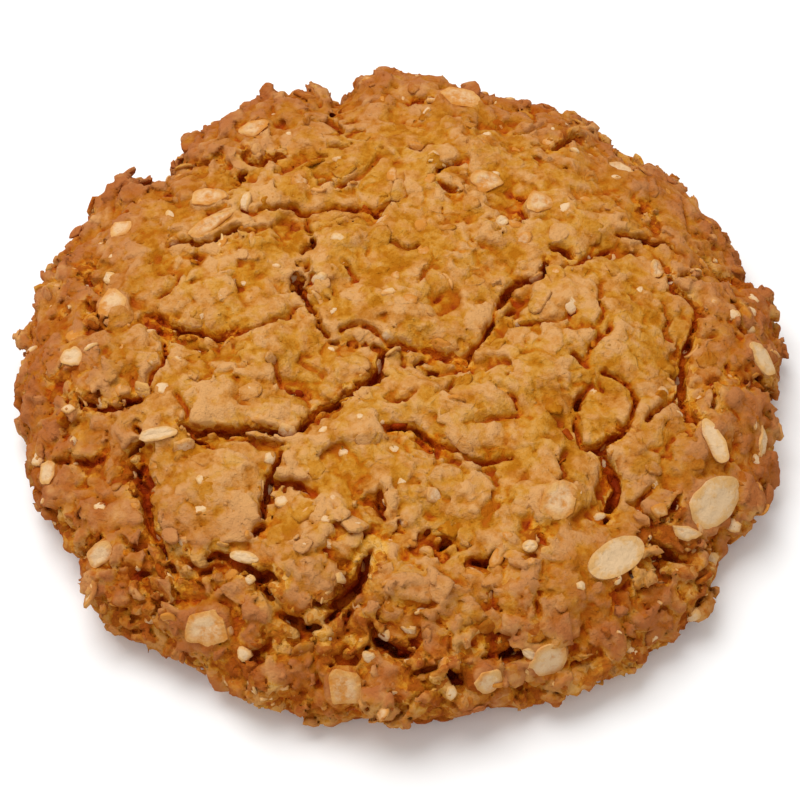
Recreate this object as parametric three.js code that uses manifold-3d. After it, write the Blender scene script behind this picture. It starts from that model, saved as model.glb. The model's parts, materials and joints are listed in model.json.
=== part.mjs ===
// A round oat biscuit, baked until its crust split into plates, with rolled-oat flakes standing out of it.
// Millimetres, +Z up. The origin is on the flat base, under the middle of the round.
// A place on the crust is given as on a map of it, [right, away]: the crust is rolled out flat from the
// middle of the top, over the shoulder and down the wall, so a place far enough out lies on the wall.
import * as THREE from 'three';
import { ImprovedNoise } from 'three/addons/math/ImprovedNoise.js';
import { mergeVertices } from 'three/addons/utils/BufferGeometryUtils.js';
import Module from 'manifold-3d';

// The round and its section
const RIM_RADIUS = 50.4;
const CROWN_HEIGHT = 16;
const WIDEST_HEIGHT = 5;
const FOOT_SHARE = 0.955;
const CROWN_POWER = 5;
const SHOULDER_POWER = 1.8;
const SECTION_STEPS = 60;
const SECTION_SAMPLES = 600;
const FOOT_STEPS = 12;

// The facets of the crust
const FACET = 2.5;
const FEWEST_SIDES = 6;
const SLOPE_REACH = 0.4;

// Lumps and crags of the crust, which grow towards the wall
const LUMP_SIZE = 8.5;
const LUMP_RISE = 1.8;
const CRAG_SIZE = 6.2;
const CRAG_RISE = 1.5;
const CRAG_SINK = 0.4;
const WALL_GAIN = 0.4;
const WALL_START = 40;
const WALL_END = 52;
const FOOT_FADE = 4;

// Dents of the rim, and bulges as dents below zero: bearing and half width in degrees, depth in mm
const RIM_DENTS = [
  { bearing: 7, width: 5, depth: -1 },
  { bearing: 15, width: 3, depth: 1.6 },
  { bearing: 31, width: 10, depth: 1.5 },
  { bearing: 46, width: 4, depth: 2.2 },
  { bearing: 54, width: 3, depth: -1.5 },
  { bearing: 66, width: 18, depth: 2 },
  { bearing: 100, width: 2.6, depth: 4.6 },
  { bearing: 105, width: 2.5, depth: -1.1 },
  { bearing: 123, width: 7, depth: 1.2 },
  { bearing: 135, width: 3, depth: 5.6 },
  { bearing: 193, width: 5, depth: 0.6 },
  { bearing: 211, width: 8, depth: 1.2 },
  { bearing: 226, width: 6, depth: -1.5 },
  { bearing: 243, width: 7, depth: 1.3 },
  { bearing: 282, width: 6, depth: 1 },
  { bearing: 327, width: 4, depth: 1.8 },
  { bearing: 354, width: 4, depth: 1.6 },
];

// Cracks between the plates: both ends on the map, sideways bow of the middle, width at the crust and depth
const CRACKS = [
  { from: [-26, -16.2], to: [-12.9, -16.5], bow: 0.3, width: 1.9, depth: 4.5 },
  { from: [-13.2, -16.4], to: [-9.4, -12], bow: 0, width: 1.5, depth: 4 },
  { from: [-10.2, -12.9], to: [0.4, -3.8], bow: -0.3, width: 1.5, depth: 3.2 },
  { from: [-0.4, -4], to: [9.4, -5.2], bow: -1.3, width: 1.7, depth: 2.6 },
  { from: [9, -5.8], to: [18, 8.1], bow: 0.4, width: 2.1, depth: 3.6 },
  { from: [17.6, 7.7], to: [20.8, 11.6], bow: 0, width: 1.4, depth: 2.6 },
  { from: [-3, -16.2], to: [4.4, -18], bow: 0.7, width: 1.4, depth: 3.2 },
  { from: [4, -18], to: [13.1, -20.2], bow: -1.4, width: 1.1, depth: 2.2 },
  { from: [28.5, -10.9], to: [23.6, -7.6], bow: 0, width: 1.2, depth: 2.2 },
  { from: [23.9, -7.5], to: [21.1, -17.7], bow: -1, width: 1.2, depth: 2.2 },
  { from: [21.2, -17.2], to: [27.2, -16], bow: -2, width: 1.4, depth: 2.8 },
  { from: [24.6, -18.2], to: [23.8, -27.6], bow: 1.3, width: 2.1, depth: 4.6 },
  { from: [36.4, 2], to: [35.2, -13], bow: 0.2, width: 1.6, depth: 2.6 },
  { from: [27.4, 14.2], to: [37.6, 9.2], bow: 1.1, width: 1.4, depth: 2.6 },
  { from: [37.2, 9.4], to: [42.2, 9.8], bow: 0, width: 1.5, depth: 2.6 },
  { from: [-15.9, 19], to: [-12, 16.2], bow: 0, width: 1.3, depth: 2.6 },
  { from: [-12.6, 16.4], to: [0, 20.2], bow: -0.6, width: 1.6, depth: 3.2 },
  { from: [-12.3, 16.8], to: [-10.2, -2.2], bow: -2.2, width: 1.4, depth: 3 },
  { from: [-10.4, -1.8], to: [-1.8, -4.3], bow: 1.5, width: 1.3, depth: 2.6 },
  { from: [-32, 12.1], to: [-22.2, 16], bow: -1.1, width: 1.4, depth: 2.8 },
  { from: [-31.8, 1.3], to: [-21.6, -2.4], bow: -0.9, width: 1.6, depth: 3.2 },
  { from: [-31.6, -8.2], to: [-41.2, -10.1], bow: 2, width: 1.5, depth: 2.8 },
  { from: [-33.6, -15.2], to: [-28.6, -32.4], bow: -0.9, width: 1.5, depth: 2.8 },
  { from: [-16.3, -19], to: [-17.8, -29.8], bow: 0.2, width: 1.3, depth: 2.4 },
  { from: [-17.2, -23.4], to: [-9.6, -25.8], bow: 0.4, width: 1.3, depth: 2.4 },
  { from: [-3.9, -23.8], to: [3.2, -28.9], bow: -1.8, width: 1.2, depth: 2.4 },
  { from: [3.4, -32.7], to: [6.6, -30.5], bow: 0, width: 2.4, depth: 3.8 },
  { from: [7.5, -34.2], to: [11.2, -33.2], bow: 0, width: 1.8, depth: 3.2 },
  { from: [-23.8, -32.9], to: [-15.4, -37.6], bow: 0.2, width: 2.5, depth: 5 },
  { from: [-4, -33], to: [-9.6, -40.7], bow: 0.7, width: 1.9, depth: 3.2 },
  { from: [-15.4, -40.7], to: [-9.4, -42.5], bow: 0, width: 1.6, depth: 3.2 },
  { from: [-4.2, -43], to: [0.4, -45.2], bow: 0, width: 2, depth: 3 },
  { from: [4.5, -46.4], to: [8.1, -49.2], bow: 0, width: 2, depth: 3 },
  { from: [10.9, -45.8], to: [15, -44.5], bow: 0, width: 2.3, depth: 3.8 },
  { from: [31, -31.4], to: [37, -31.9], bow: 0, width: 1.6, depth: 2.8 },
  { from: [-23.4, 27.5], to: [-19, 25.7], bow: 0, width: 2, depth: 3.2 },
  { from: [-19.6, 26], to: [-7.6, 29.6], bow: 1.4, width: 1.3, depth: 2.4 },
  { from: [-42.4, 12], to: [-40.3, 8], bow: 0, width: 1.8, depth: 2.8 },
  { from: [-9.6, 51], to: [-9, 34.6], bow: 0.3, width: 2.2, depth: 3.6 },
  { from: [-37.4, 37.4], to: [-33.4, 25.6], bow: -0.6, width: 2.4, depth: 4 },
];
const CRACK_STEP = 2.2;
const CRACK_FEWEST_STEPS = 3;
const CRACK_JAG = 1.1;
const CRACK_JAG_SIZE = 2.6;
const CRACK_END = 0.35;
const CRACK_FLOOR = 0.3;
const CRACK_BRIM = 2.2;
const VALLEY_WIDTH = 2.2;
const VALLEY_DEPTH = 1.2;

// Large rolled-oat flakes: place on the map, length, width, turn on the crust and tilt out of it in degrees
const FLAKES = [
  { place: [39.4, -24.6], length: 8.4, width: 7.2, turn: 25, tilt: 8 },
  { place: [25.2, -32.3], length: 8.2, width: 5.8, turn: 28, tilt: 12 },
  { place: [46.6, -1.6], length: 6.4, width: 4.6, turn: -25, tilt: 20 },
  { place: [37.9, -16.9], length: 5.4, width: 4, turn: -60, tilt: 22 },
  { place: [44.7, -14.5], length: 5, width: 3.4, turn: 80, tilt: 16 },
  { place: [18.8, -25.9], length: 7, width: 5, turn: 35, tilt: 14 },
  { place: [10.8, 23.1], length: 4.6, width: 3.8, turn: 10, tilt: 16 },
  { place: [18.8, 20.1], length: 5, width: 4, turn: 70, tilt: 18 },
  { place: [7.6, 39.3], length: 7, width: 5.2, turn: -15, tilt: 14 },
  { place: [-37.3, 3.9], length: 5, width: 4.4, turn: 50, tilt: 12 },
  { place: [-33, -0.6], length: 5.6, width: 4.2, turn: 15, tilt: 18 },
  { place: [-24.2, 15.4], length: 7.6, width: 4.4, turn: 35, tilt: 42 },
  { place: [-26.4, 20.6], length: 4.8, width: 3.4, turn: 10, tilt: 10 },
  { place: [-37.5, -8.7], length: 5.2, width: 4.8, turn: 45, tilt: 14 },
  { place: [-30.5, -16.2], length: 6.2, width: 4, turn: 8, tilt: 48 },
  { place: [-23.8, -9.1], length: 7, width: 4.4, turn: 5, tilt: 26 },
  { place: [-17.8, -2.8], length: 7, width: 4.6, turn: 12, tilt: 24 },
  { place: [-19.8, -28.3], length: 6, width: 4.6, turn: 20, tilt: 14 },
  { place: [-19.5, -33.8], length: 5.8, width: 4, turn: -15, tilt: 44 },
  { place: [-24.3, -42], length: 6, width: 5, turn: 20, tilt: 14 },
  { place: [-12.5, -21.7], length: 7.4, width: 5, turn: 8, tilt: 12 },
  { place: [-6.9, -49], length: 5.6, width: 5, turn: 70, tilt: 14 },
  { place: [17.4, -45.3], length: 5.4, width: 4.6, turn: 40, tilt: 18 },
  { place: [0.6, -36.5], length: 5, width: 4.2, turn: 30, tilt: 16 },
];
const FLAKE_THICKNESS = 1;
const FLAKE_SIDES = 9;
const FLAKE_STACKS = 3;
const FLAKE_CURL = 0.5;
const FLAKE_RIPPLE = 0.16;

// Smaller flakes, spread evenly over the rest of the crust
const SMALL_FLAKES = 26;
const SMALL_FLAKE_SEED = 27;
const SMALL_FLAKE_LENGTH = [3.6, 5.6];
const SMALL_FLAKE_ASPECT = [0.62, 0.9];
const SMALL_FLAKE_TILT = [8, 38];
const SMALL_FLAKE_JITTER = 1.6;
const SMALL_FLAKE_CLEAR = 6.5;
const SMALL_FLAKE_REACH = 0.86;
const GOLDEN_ANGLE = Math.PI * (3 - Math.sqrt(5));

// Finish of the crust
const CRUST_COLOUR = 0xba7733;
const CRUST_ROUGHNESS = 0.85;

const wasm = await Module();
wasm.setup();
const noise = new ImprovedNoise();
const random = THREE.MathUtils.seededRandom;

// Radius of the rim at a bearing, with its dents.
function rimRadius(bearing) {
  const degrees = THREE.MathUtils.radToDeg(bearing);
  let radius = RIM_RADIUS;
  for (const dent of RIM_DENTS) {
    const off = THREE.MathUtils.euclideanModulo(degrees - dent.bearing + 180, 360) - 180;
    radius -= dent.depth * Math.exp(-((off / dent.width) ** 2));
  }
  return radius;
}

// The crust in section, from the middle of the top over the shoulder to the foot of the wall.
function crustSection() {
  const points = [];
  for (let step = 0; step <= SECTION_STEPS; step += 1) {
    const share = 1 - (1 - step / SECTION_STEPS) ** 2;
    const rise = (1 - share ** CROWN_POWER) ** (1 / SHOULDER_POWER);
    points.push(new THREE.Vector2(share * RIM_RADIUS, WIDEST_HEIGHT + (CROWN_HEIGHT - WIDEST_HEIGHT) * rise));
  }
  for (let step = 1; step <= FOOT_STEPS; step += 1) {
    const turn = (step / FOOT_STEPS) * (Math.PI / 2);
    const share = FOOT_SHARE + (1 - FOOT_SHARE) * Math.cos(turn);
    points.push(new THREE.Vector2(share * RIM_RADIUS, WIDEST_HEIGHT * (1 - Math.sin(turn))));
  }
  const curve = new THREE.SplineCurve(points);
  curve.arcLengthDivisions = SECTION_SAMPLES;
  return curve;
}

const section = crustSection();
const sectionLength = section.getLength();

// The smooth crust at a place on the map.
function smoothPoint(right, away) {
  const along = Math.min(Math.hypot(right, away) / sectionLength, 1);
  const bearing = Math.atan2(away, right);
  const place = section.getPointAt(along);
  const reach = (place.x * rimRadius(bearing)) / RIM_RADIUS;
  return new THREE.Vector3(reach * Math.cos(bearing), reach * Math.sin(bearing), place.y);
}

// The smooth crust's point and outward direction at a place on the map.
function smoothCrust(right, away) {
  const sideways = smoothPoint(right + SLOPE_REACH, away).sub(smoothPoint(right - SLOPE_REACH, away));
  const backwards = smoothPoint(right, away + SLOPE_REACH).sub(smoothPoint(right, away - SLOPE_REACH));
  const outward = sideways.cross(backwards).normalize();
  return { point: smoothPoint(right, away), outward };
}

// A crack's route over the map: from end to end, bowed sideways, with a jagged line.
function crackRoute({ from, to, bow }) {
  const start = new THREE.Vector2(...from);
  const span = new THREE.Vector2(...to).sub(start);
  const aside = new THREE.Vector2(-span.y, span.x).normalize();
  const steps = Math.max(CRACK_FEWEST_STEPS, Math.round(span.length() / CRACK_STEP));
  const route = [];
  for (let step = 0; step <= steps; step += 1) {
    const share = step / steps;
    const place = start.clone().addScaledVector(span, share);
    const jag = CRACK_JAG * noise.noise(place.x / CRACK_JAG_SIZE, place.y / CRACK_JAG_SIZE, 0);
    route.push(place.addScaledVector(aside, Math.sin(Math.PI * share) * bow + jag));
  }
  return route;
}

const crackRoutes = CRACKS.map(crackRoute);
const crackLegs = crackRoutes.flatMap((route) => route.slice(1).map((end, leg) => [route[leg], end]));

// Depth of the valley that the crust sinks into along its cracks.
function valleyDepth(right, away) {
  const place = new THREE.Vector3(right, away, 0);
  const leg = new THREE.Line3();
  const nearest = new THREE.Vector3();
  let closest = Infinity;
  for (const [start, end] of crackLegs) {
    leg.start.set(start.x, start.y, 0);
    leg.end.set(end.x, end.y, 0);
    leg.closestPointToPoint(place, true, nearest);
    closest = Math.min(closest, nearest.distanceTo(place));
  }
  return VALLEY_DEPTH * Math.exp(-((closest / VALLEY_WIDTH) ** 2));
}

// The craggy crust's point and outward direction at a place on the map.
function crust(right, away) {
  const { point, outward } = smoothCrust(right, away);
  const along = Math.hypot(right, away);
  const gain = 1 + WALL_GAIN * THREE.MathUtils.smoothstep(along, WALL_START, WALL_END);
  const lump = LUMP_RISE * noise.noise(point.x / LUMP_SIZE, point.y / LUMP_SIZE, point.z / LUMP_SIZE);
  const billow = Math.abs(noise.noise(point.x / CRAG_SIZE, point.y / CRAG_SIZE, point.z / CRAG_SIZE));
  const crag = CRAG_RISE * (2 * billow - CRAG_SINK);
  const fade = THREE.MathUtils.smoothstep(sectionLength - along, 0, FOOT_FADE);
  const relief = ((lump + crag) * gain - valleyDepth(right, away)) * fade;
  return { point: point.addScaledVector(outward, relief), outward };
}

// Joins two rings of points, given by their first index and count, with a band of triangles.
function bandBetween(inner, outer) {
  const faces = [];
  let near = 0;
  let far = 0;
  while (near < inner.count || far < outer.count) {
    const a = inner.first + (near % inner.count);
    const b = outer.first + (far % outer.count);
    const outerIsNext = (far + 1) / outer.count <= (near + 1) / inner.count;
    if (far < outer.count && (near === inner.count || outerIsNext)) {
      faces.push(a, b, outer.first + ((far + 1) % outer.count));
      far += 1;
    } else {
      faces.push(a, b, inner.first + ((near + 1) % inner.count));
      near += 1;
    }
  }
  return faces;
}

// The dough: rings of the craggy crust from the middle of the top to the foot, closed by the flat base.
function doughGeometry() {
  const points = [crust(0, 0).point];
  const faces = [];
  let inner = { first: 0, count: 1 };
  const rings = Math.round(sectionLength / FACET);
  for (let ring = 1; ring <= rings; ring += 1) {
    const along = (ring / rings) * sectionLength;
    const girth = 2 * Math.PI * section.getPointAt(along / sectionLength).x;
    const outer = { first: points.length, count: Math.max(FEWEST_SIDES, Math.round(girth / FACET)) };
    for (let side = 0; side < outer.count; side += 1) {
      const bearing = (side / outer.count) * 2 * Math.PI;
      points.push(crust(along * Math.cos(bearing), along * Math.sin(bearing)).point);
    }
    faces.push(...bandBetween(inner, outer));
    inner = outer;
  }
  const middle = points.length;
  points.push(new THREE.Vector3(0, 0, 0));
  for (let side = 0; side < inner.count; side += 1) {
    faces.push(middle, inner.first + ((side + 1) % inner.count), inner.first + side);
  }
  const geometry = new THREE.BufferGeometry().setFromPoints(points);
  geometry.setIndex(faces);
  return geometry;
}

// The wedge of air in a crack: a four-cornered section from its narrow floor to its brim above the crust.
function crackGeometry({ width, depth }, route) {
  const points = [];
  const faces = [];
  const last = route.length - 1;
  const spots = route.map((place) => crust(place.x, place.y));
  spots.forEach(({ point, outward }, step) => {
    const swell = CRACK_END + (1 - CRACK_END) * Math.sin((Math.PI * step) / last);
    const ahead = spots[Math.min(step + 1, last)].point.clone().sub(spots[Math.max(step - 1, 0)].point);
    const across = new THREE.Vector3().crossVectors(outward, ahead).normalize();
    const half = (width * swell) / 2;
    const flare = half * (1 + ((1 - CRACK_FLOOR) * CRACK_BRIM) / depth);
    const floor = point.clone().addScaledVector(outward, -depth * swell);
    const brim = point.clone().addScaledVector(outward, CRACK_BRIM);
    points.push(brim.clone().addScaledVector(across, flare));
    points.push(floor.clone().addScaledVector(across, half * CRACK_FLOOR));
    points.push(floor.addScaledVector(across, -half * CRACK_FLOOR));
    points.push(brim.addScaledVector(across, -flare));
  });
  for (let step = 0; step < last; step += 1) {
    for (let corner = 0; corner < 4; corner += 1) {
      const a = step * 4 + corner;
      const b = step * 4 + ((corner + 1) % 4);
      faces.push(a, a + 4, b, b, a + 4, b + 4);
    }
  }
  const end = last * 4;
  faces.push(0, 1, 2, 0, 2, 3, end, end + 2, end + 1, end, end + 3, end + 2);
  const geometry = new THREE.BufferGeometry().setFromPoints(points);
  geometry.setIndex(faces);
  return geometry;
}

// A rolled-oat flake: a thin curled lens with a wavy rim, tilted out of the crust at its place.
function flakeGeometry({ place, length, width, turn, tilt }) {
  const geometry = new THREE.SphereGeometry(0.5, FLAKE_SIDES, FLAKE_STACKS);
  const belt = Math.sin(Math.PI / FLAKE_STACKS);
  geometry.rotateX(Math.PI / 2);
  geometry.scale(length / belt, width / belt, FLAKE_THICKNESS * 2);
  const corners = geometry.attributes.position;
  for (let corner = 0; corner < corners.count; corner += 1) {
    const x = corners.getX(corner);
    const y = corners.getY(corner);
    const ripple = 1 + FLAKE_RIPPLE * noise.noise(x + place[0], y + place[1], length);
    const curl = FLAKE_CURL * ((2 * x) / length) ** 2;
    corners.setXYZ(corner, x * ripple, y * ripple, corners.getZ(corner) + curl);
  }
  const { point, outward } = crust(...place);
  const heading = new THREE.Vector3(Math.cos(turn), Math.sin(turn), 0).projectOnPlane(outward).normalize();
  const sideways = new THREE.Vector3().crossVectors(outward, heading);
  const lie = new THREE.Matrix4().makeBasis(heading, sideways, outward).setPosition(point);
  geometry.applyMatrix4(new THREE.Matrix4().makeRotationX(tilt));
  geometry.applyMatrix4(lie);
  return geometry;
}

// A draw between two bounds.
function between([low, high]) {
  return low + (high - low) * random();
}

// The smaller flakes: an even spiral over the map, shaken a little, clear of the large ones.
function smallFlakes() {
  const flakes = [];
  random(SMALL_FLAKE_SEED);
  for (let turn = 0; turn < SMALL_FLAKES; turn += 1) {
    const along = sectionLength * SMALL_FLAKE_REACH * Math.sqrt((turn + 0.5) / SMALL_FLAKES);
    const shake = [between([-1, 1]) * SMALL_FLAKE_JITTER, between([-1, 1]) * SMALL_FLAKE_JITTER];
    const length = between(SMALL_FLAKE_LENGTH);
    const place = [
      along * Math.cos(turn * GOLDEN_ANGLE) + shake[0],
      along * Math.sin(turn * GOLDEN_ANGLE) + shake[1],
    ];
    flakes.push({
      place,
      length,
      width: length * between(SMALL_FLAKE_ASPECT),
      turn: between([0, 360]),
      tilt: between(SMALL_FLAKE_TILT),
    });
  }
  const isClear = ({ place }) => FLAKES.every(
    (large) => Math.hypot(place[0] - large.place[0], place[1] - large.place[1]) > SMALL_FLAKE_CLEAR,
  );
  return flakes.filter(isClear);
}

// A closed solid, for joining and cutting.
function solidOf(geometry) {
  geometry.deleteAttribute('normal');
  geometry.deleteAttribute('uv');
  const merged = mergeVertices(geometry);
  return new wasm.Manifold(new wasm.Mesh({
    numProp: 3,
    vertProperties: Float32Array.from(merged.attributes.position.array),
    triVerts: Uint32Array.from(merged.index.array),
  }));
}

// The whole biscuit: the dough, less its cracks, with the flakes fused on, and without loose crumbs.
function biscuitGeometry() {
  let solid = solidOf(doughGeometry());
  CRACKS.forEach((crack, index) => {
    solid = solid.subtract(solidOf(crackGeometry(crack, crackRoutes[index])));
  });
  for (const flake of [...FLAKES, ...smallFlakes()]) {
    const turn = THREE.MathUtils.degToRad(flake.turn);
    const tilt = THREE.MathUtils.degToRad(flake.tilt);
    solid = solid.add(solidOf(flakeGeometry({ ...flake, turn, tilt })));
  }
  const [whole] = solid.decompose().sort((a, b) => b.volume() - a.volume());
  const { vertProperties, triVerts } = whole.getMesh();
  const geometry = new THREE.BufferGeometry();
  geometry.setAttribute('position', new THREE.BufferAttribute(Float32Array.from(vertProperties), 3));
  geometry.setIndex(Array.from(triVerts));
  geometry.computeVertexNormals();
  return geometry;
}

const biscuit = new THREE.Mesh(
  biscuitGeometry(),
  new THREE.MeshStandardMaterial({ color: CRUST_COLOUR, roughness: CRUST_ROUGHNESS, metalness: 0 }),
);
biscuit.name = 'biscuit';
const box = new THREE.Box3().setFromObject(biscuit);
const centre = box.getCenter(new THREE.Vector3());
biscuit.position.set(-centre.x, -centre.y, -box.min.z);

const part = new THREE.Group();
part.add(biscuit);

export default part;
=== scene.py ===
"""Looks of a baked oat biscuit: craggy cracked crust, rolled-oat flakes, coconut shreds and crumbs."""

import json
import logging
import math
from dataclasses import dataclass, field
from enum import Enum, IntEnum
from itertools import product

import bmesh
import bpy
import numpy as np
import openvdb
from mathutils import Matrix, Vector

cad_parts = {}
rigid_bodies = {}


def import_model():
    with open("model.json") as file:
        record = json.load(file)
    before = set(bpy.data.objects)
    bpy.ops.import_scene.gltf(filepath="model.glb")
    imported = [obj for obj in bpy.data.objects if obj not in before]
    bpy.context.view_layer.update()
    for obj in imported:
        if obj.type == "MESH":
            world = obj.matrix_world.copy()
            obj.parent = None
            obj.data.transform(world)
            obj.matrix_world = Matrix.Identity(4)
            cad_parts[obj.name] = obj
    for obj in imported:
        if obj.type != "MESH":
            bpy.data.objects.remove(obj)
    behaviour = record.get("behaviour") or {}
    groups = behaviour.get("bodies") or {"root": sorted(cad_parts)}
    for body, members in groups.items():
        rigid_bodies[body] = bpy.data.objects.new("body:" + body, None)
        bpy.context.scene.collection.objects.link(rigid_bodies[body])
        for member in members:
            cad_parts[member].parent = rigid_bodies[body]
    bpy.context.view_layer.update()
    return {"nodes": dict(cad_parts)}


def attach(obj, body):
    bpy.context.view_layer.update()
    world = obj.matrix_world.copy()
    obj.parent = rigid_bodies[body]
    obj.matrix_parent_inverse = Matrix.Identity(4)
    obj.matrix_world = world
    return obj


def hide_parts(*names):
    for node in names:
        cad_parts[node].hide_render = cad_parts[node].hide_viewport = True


LOG = logging.getLogger("biscuit")
MM = 0.001
NODE = "biscuit"
BODY = "root"
# A full turn in radians, rounded up, for angles left to chance.
TURN = 6.3

Place = tuple[np.ndarray, np.ndarray, np.ndarray]
Colour = tuple[float, float, float]
Palette = tuple[Colour, ...]


class Seed(IntEnum):
    """Numbers that set the seeded noises and draws apart."""

    SPIN = 1
    SIZE = 2
    PICK = 3
    TINT = 4
    SCATTER = 5
    SHINGLES = 11
    WANDER = 21
    JAG = 22
    PLATES = 23
    SPLITS = 24
    CLUMPS = 25
    BITS = 26
    PITS = 27
    OPEN_PLATES = 28
    OPEN_SPLITS = 29
    GRAIN = 30
    PATCHES = 31
    DUST = 32
    FILL = 33
    BROAD_EDGE = 34
    FINE_EDGE = 35
    LIP = 36
    SWELL = 37
    SWAY_EAST = 38
    SWAY_NORTH = 39
    FORMS = 100


def tone(red: int, green: int, blue: int) -> Colour:
    """Turns a colour as a screen shows it, 0 to 255, into the linear colour that a shader takes.

    Args:
        red: Red on the screen.
        green: Green on the screen.
        blue: Blue on the screen.

    Returns:
        The linear colour.
    """
    return tuple(((level / 255 + 0.055) / 1.055) ** 2.4 for level in (red, green, blue))


def tones(*levels: tuple[int, int, int]) -> Palette:
    """Turns several colours as a screen shows them into linear ones."""
    return tuple(tone(*level) for level in levels)


def ease(values: np.ndarray, start: float, end: float) -> np.ndarray:
    """Rises smoothly from 0 at start to 1 at end.

    Args:
        values: Numbers to ease.
        start: Number that gives 0.
        end: Number that gives 1, below start for a falling step.

    Returns:
        The eased numbers.
    """
    share = np.clip((values - start) / (end - start), 0.0, 1.0)
    return share * share * (3.0 - 2.0 * share)


@dataclass(frozen=True)
class Cells:
    """How points lie among scattered seeds.

    Attributes:
        near: Distance to the nearest seed, in cells.
        gap: How much further the second seed is, in cells: 0 on the border between two seeds.
        mark: A number from 0 to 1 that is the seed's own.
        tilt: Height of a tile around the seed that leans its own way, in cells.
    """

    near: np.ndarray
    gap: np.ndarray
    mark: np.ndarray
    tilt: np.ndarray


@dataclass(frozen=True)
class Lattice:
    """Seeded noise on a lattice, for points in millimetres.

    Attributes:
        cell: Width of a cell in millimetres.
        seed: Number that sets this lattice apart from the others.
    """

    cell: float
    seed: int

    def scramble(self, i: np.ndarray, j: np.ndarray, k: np.ndarray) -> np.ndarray:
        """Gives each corner of the lattice its own scrambled whole number.

        Args:
            i: Corner along X.
            j: Corner along Y.
            k: Corner along Z.

        Returns:
            The scrambled numbers, 32 bits each.
        """
        mixed = i * np.uint32(0x8DA6B343) ^ j * np.uint32(0xD8163841) ^ k * np.uint32(0xCB1AB31F)
        mixed = mixed ^ np.uint32(self.seed * 7919)
        mixed = (mixed ^ (mixed >> np.uint32(15))) * np.uint32(0x2C1B3C6D)
        mixed = (mixed ^ (mixed >> np.uint32(12))) * np.uint32(0x297A2D39)
        return mixed ^ (mixed >> np.uint32(15))

    def split(self, place: Place) -> tuple[list[np.ndarray], list[np.ndarray]]:
        """Splits points into their lattice corner and the rest inside the cell.

        Args:
            place: X, Y and Z of the points.

        Returns:
            The corners as whole numbers and the shares of a cell, one array an axis.
        """
        scaled = [np.asarray(axis, np.float32) / np.float32(self.cell) for axis in place]
        floors = [np.floor(axis) for axis in scaled]
        shares = [axis - floor for axis, floor in zip(scaled, floors)]
        return [floor.astype(np.int64).astype(np.uint32) for floor in floors], shares

    def smooth(self, place: Place) -> np.ndarray:
        """Smooth noise, from about -1 to 1.

        Args:
            place: X, Y and Z of the points.

        Returns:
            One number a point.
        """
        slopes = np.random.default_rng(self.seed).normal(size=(256, 3)).astype(np.float32)
        slopes /= np.linalg.norm(slopes, axis=1, keepdims=True)
        corner, share = self.split(place)
        blend = [part**3 * (part * (part * 6.0 - 15.0) + 10.0) for part in share]
        total = np.zeros_like(share[0])
        for offset in product((0, 1), repeat=3):
            shifted = (axis + np.uint32(step) for axis, step in zip(corner, offset))
            slope = slopes[self.scramble(*shifted) & np.uint32(255)]
            reach = sum(slope[:, axis] * (share[axis] - offset[axis]) for axis in range(3))
            weights = [part if step else 1.0 - part for part, step in zip(blend, offset)]
            total += np.prod(weights, axis=0) * reach
        return total * 1.6

    def cells(self, place: Place, flat: bool = False) -> Cells:
        """Finds where points lie among seeds scattered one to a cell.

        Args:
            place: X, Y and Z of the points.
            flat: True to scatter the seeds over X and Y alone.

        Returns:
            The distances and marks.
        """
        draw = np.random.default_rng(self.seed)
        spread = draw.random((4096, 3), np.float32)
        leans = draw.normal(size=(4096, 2)).astype(np.float32)
        corner, share = self.split(place)
        nearest = np.full_like(share[0], 9.0)
        second = np.full_like(share[0], 9.0)
        mark = np.zeros_like(corner[0])
        tilt = np.zeros_like(share[0])
        steps = (-1, 0, 1)
        for offset in product(steps, steps, (0,) if flat else steps):
            shifted = [axis + np.uint32(step & 0xFFFFFFFF) for axis, step in zip(corner, offset)]
            level = np.zeros_like(shifted[2]) if flat else shifted[2]
            pick = self.scramble(shifted[0], shifted[1], level)
            seed = spread[pick & np.uint32(4095)]
            lean = leans[pick & np.uint32(4095)]
            east, north = share[0] - offset[0] - seed[:, 0], share[1] - offset[1] - seed[:, 1]
            away = east**2 + north**2
            if not flat:
                away = away + (offset[2] + seed[:, 2] - share[2]) ** 2
            closer = away < nearest
            second = np.where(closer, nearest, np.minimum(second, away))
            mark = np.where(closer, pick, mark)
            tilt = np.where(closer, lean[:, 0] * east + lean[:, 1] * north, tilt)
            nearest = np.minimum(nearest, away)
        nearest, second = np.sqrt(nearest), np.sqrt(second)
        return Cells(nearest, second - nearest, mark.astype(np.float32) / np.float32(2**32), tilt)


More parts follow.
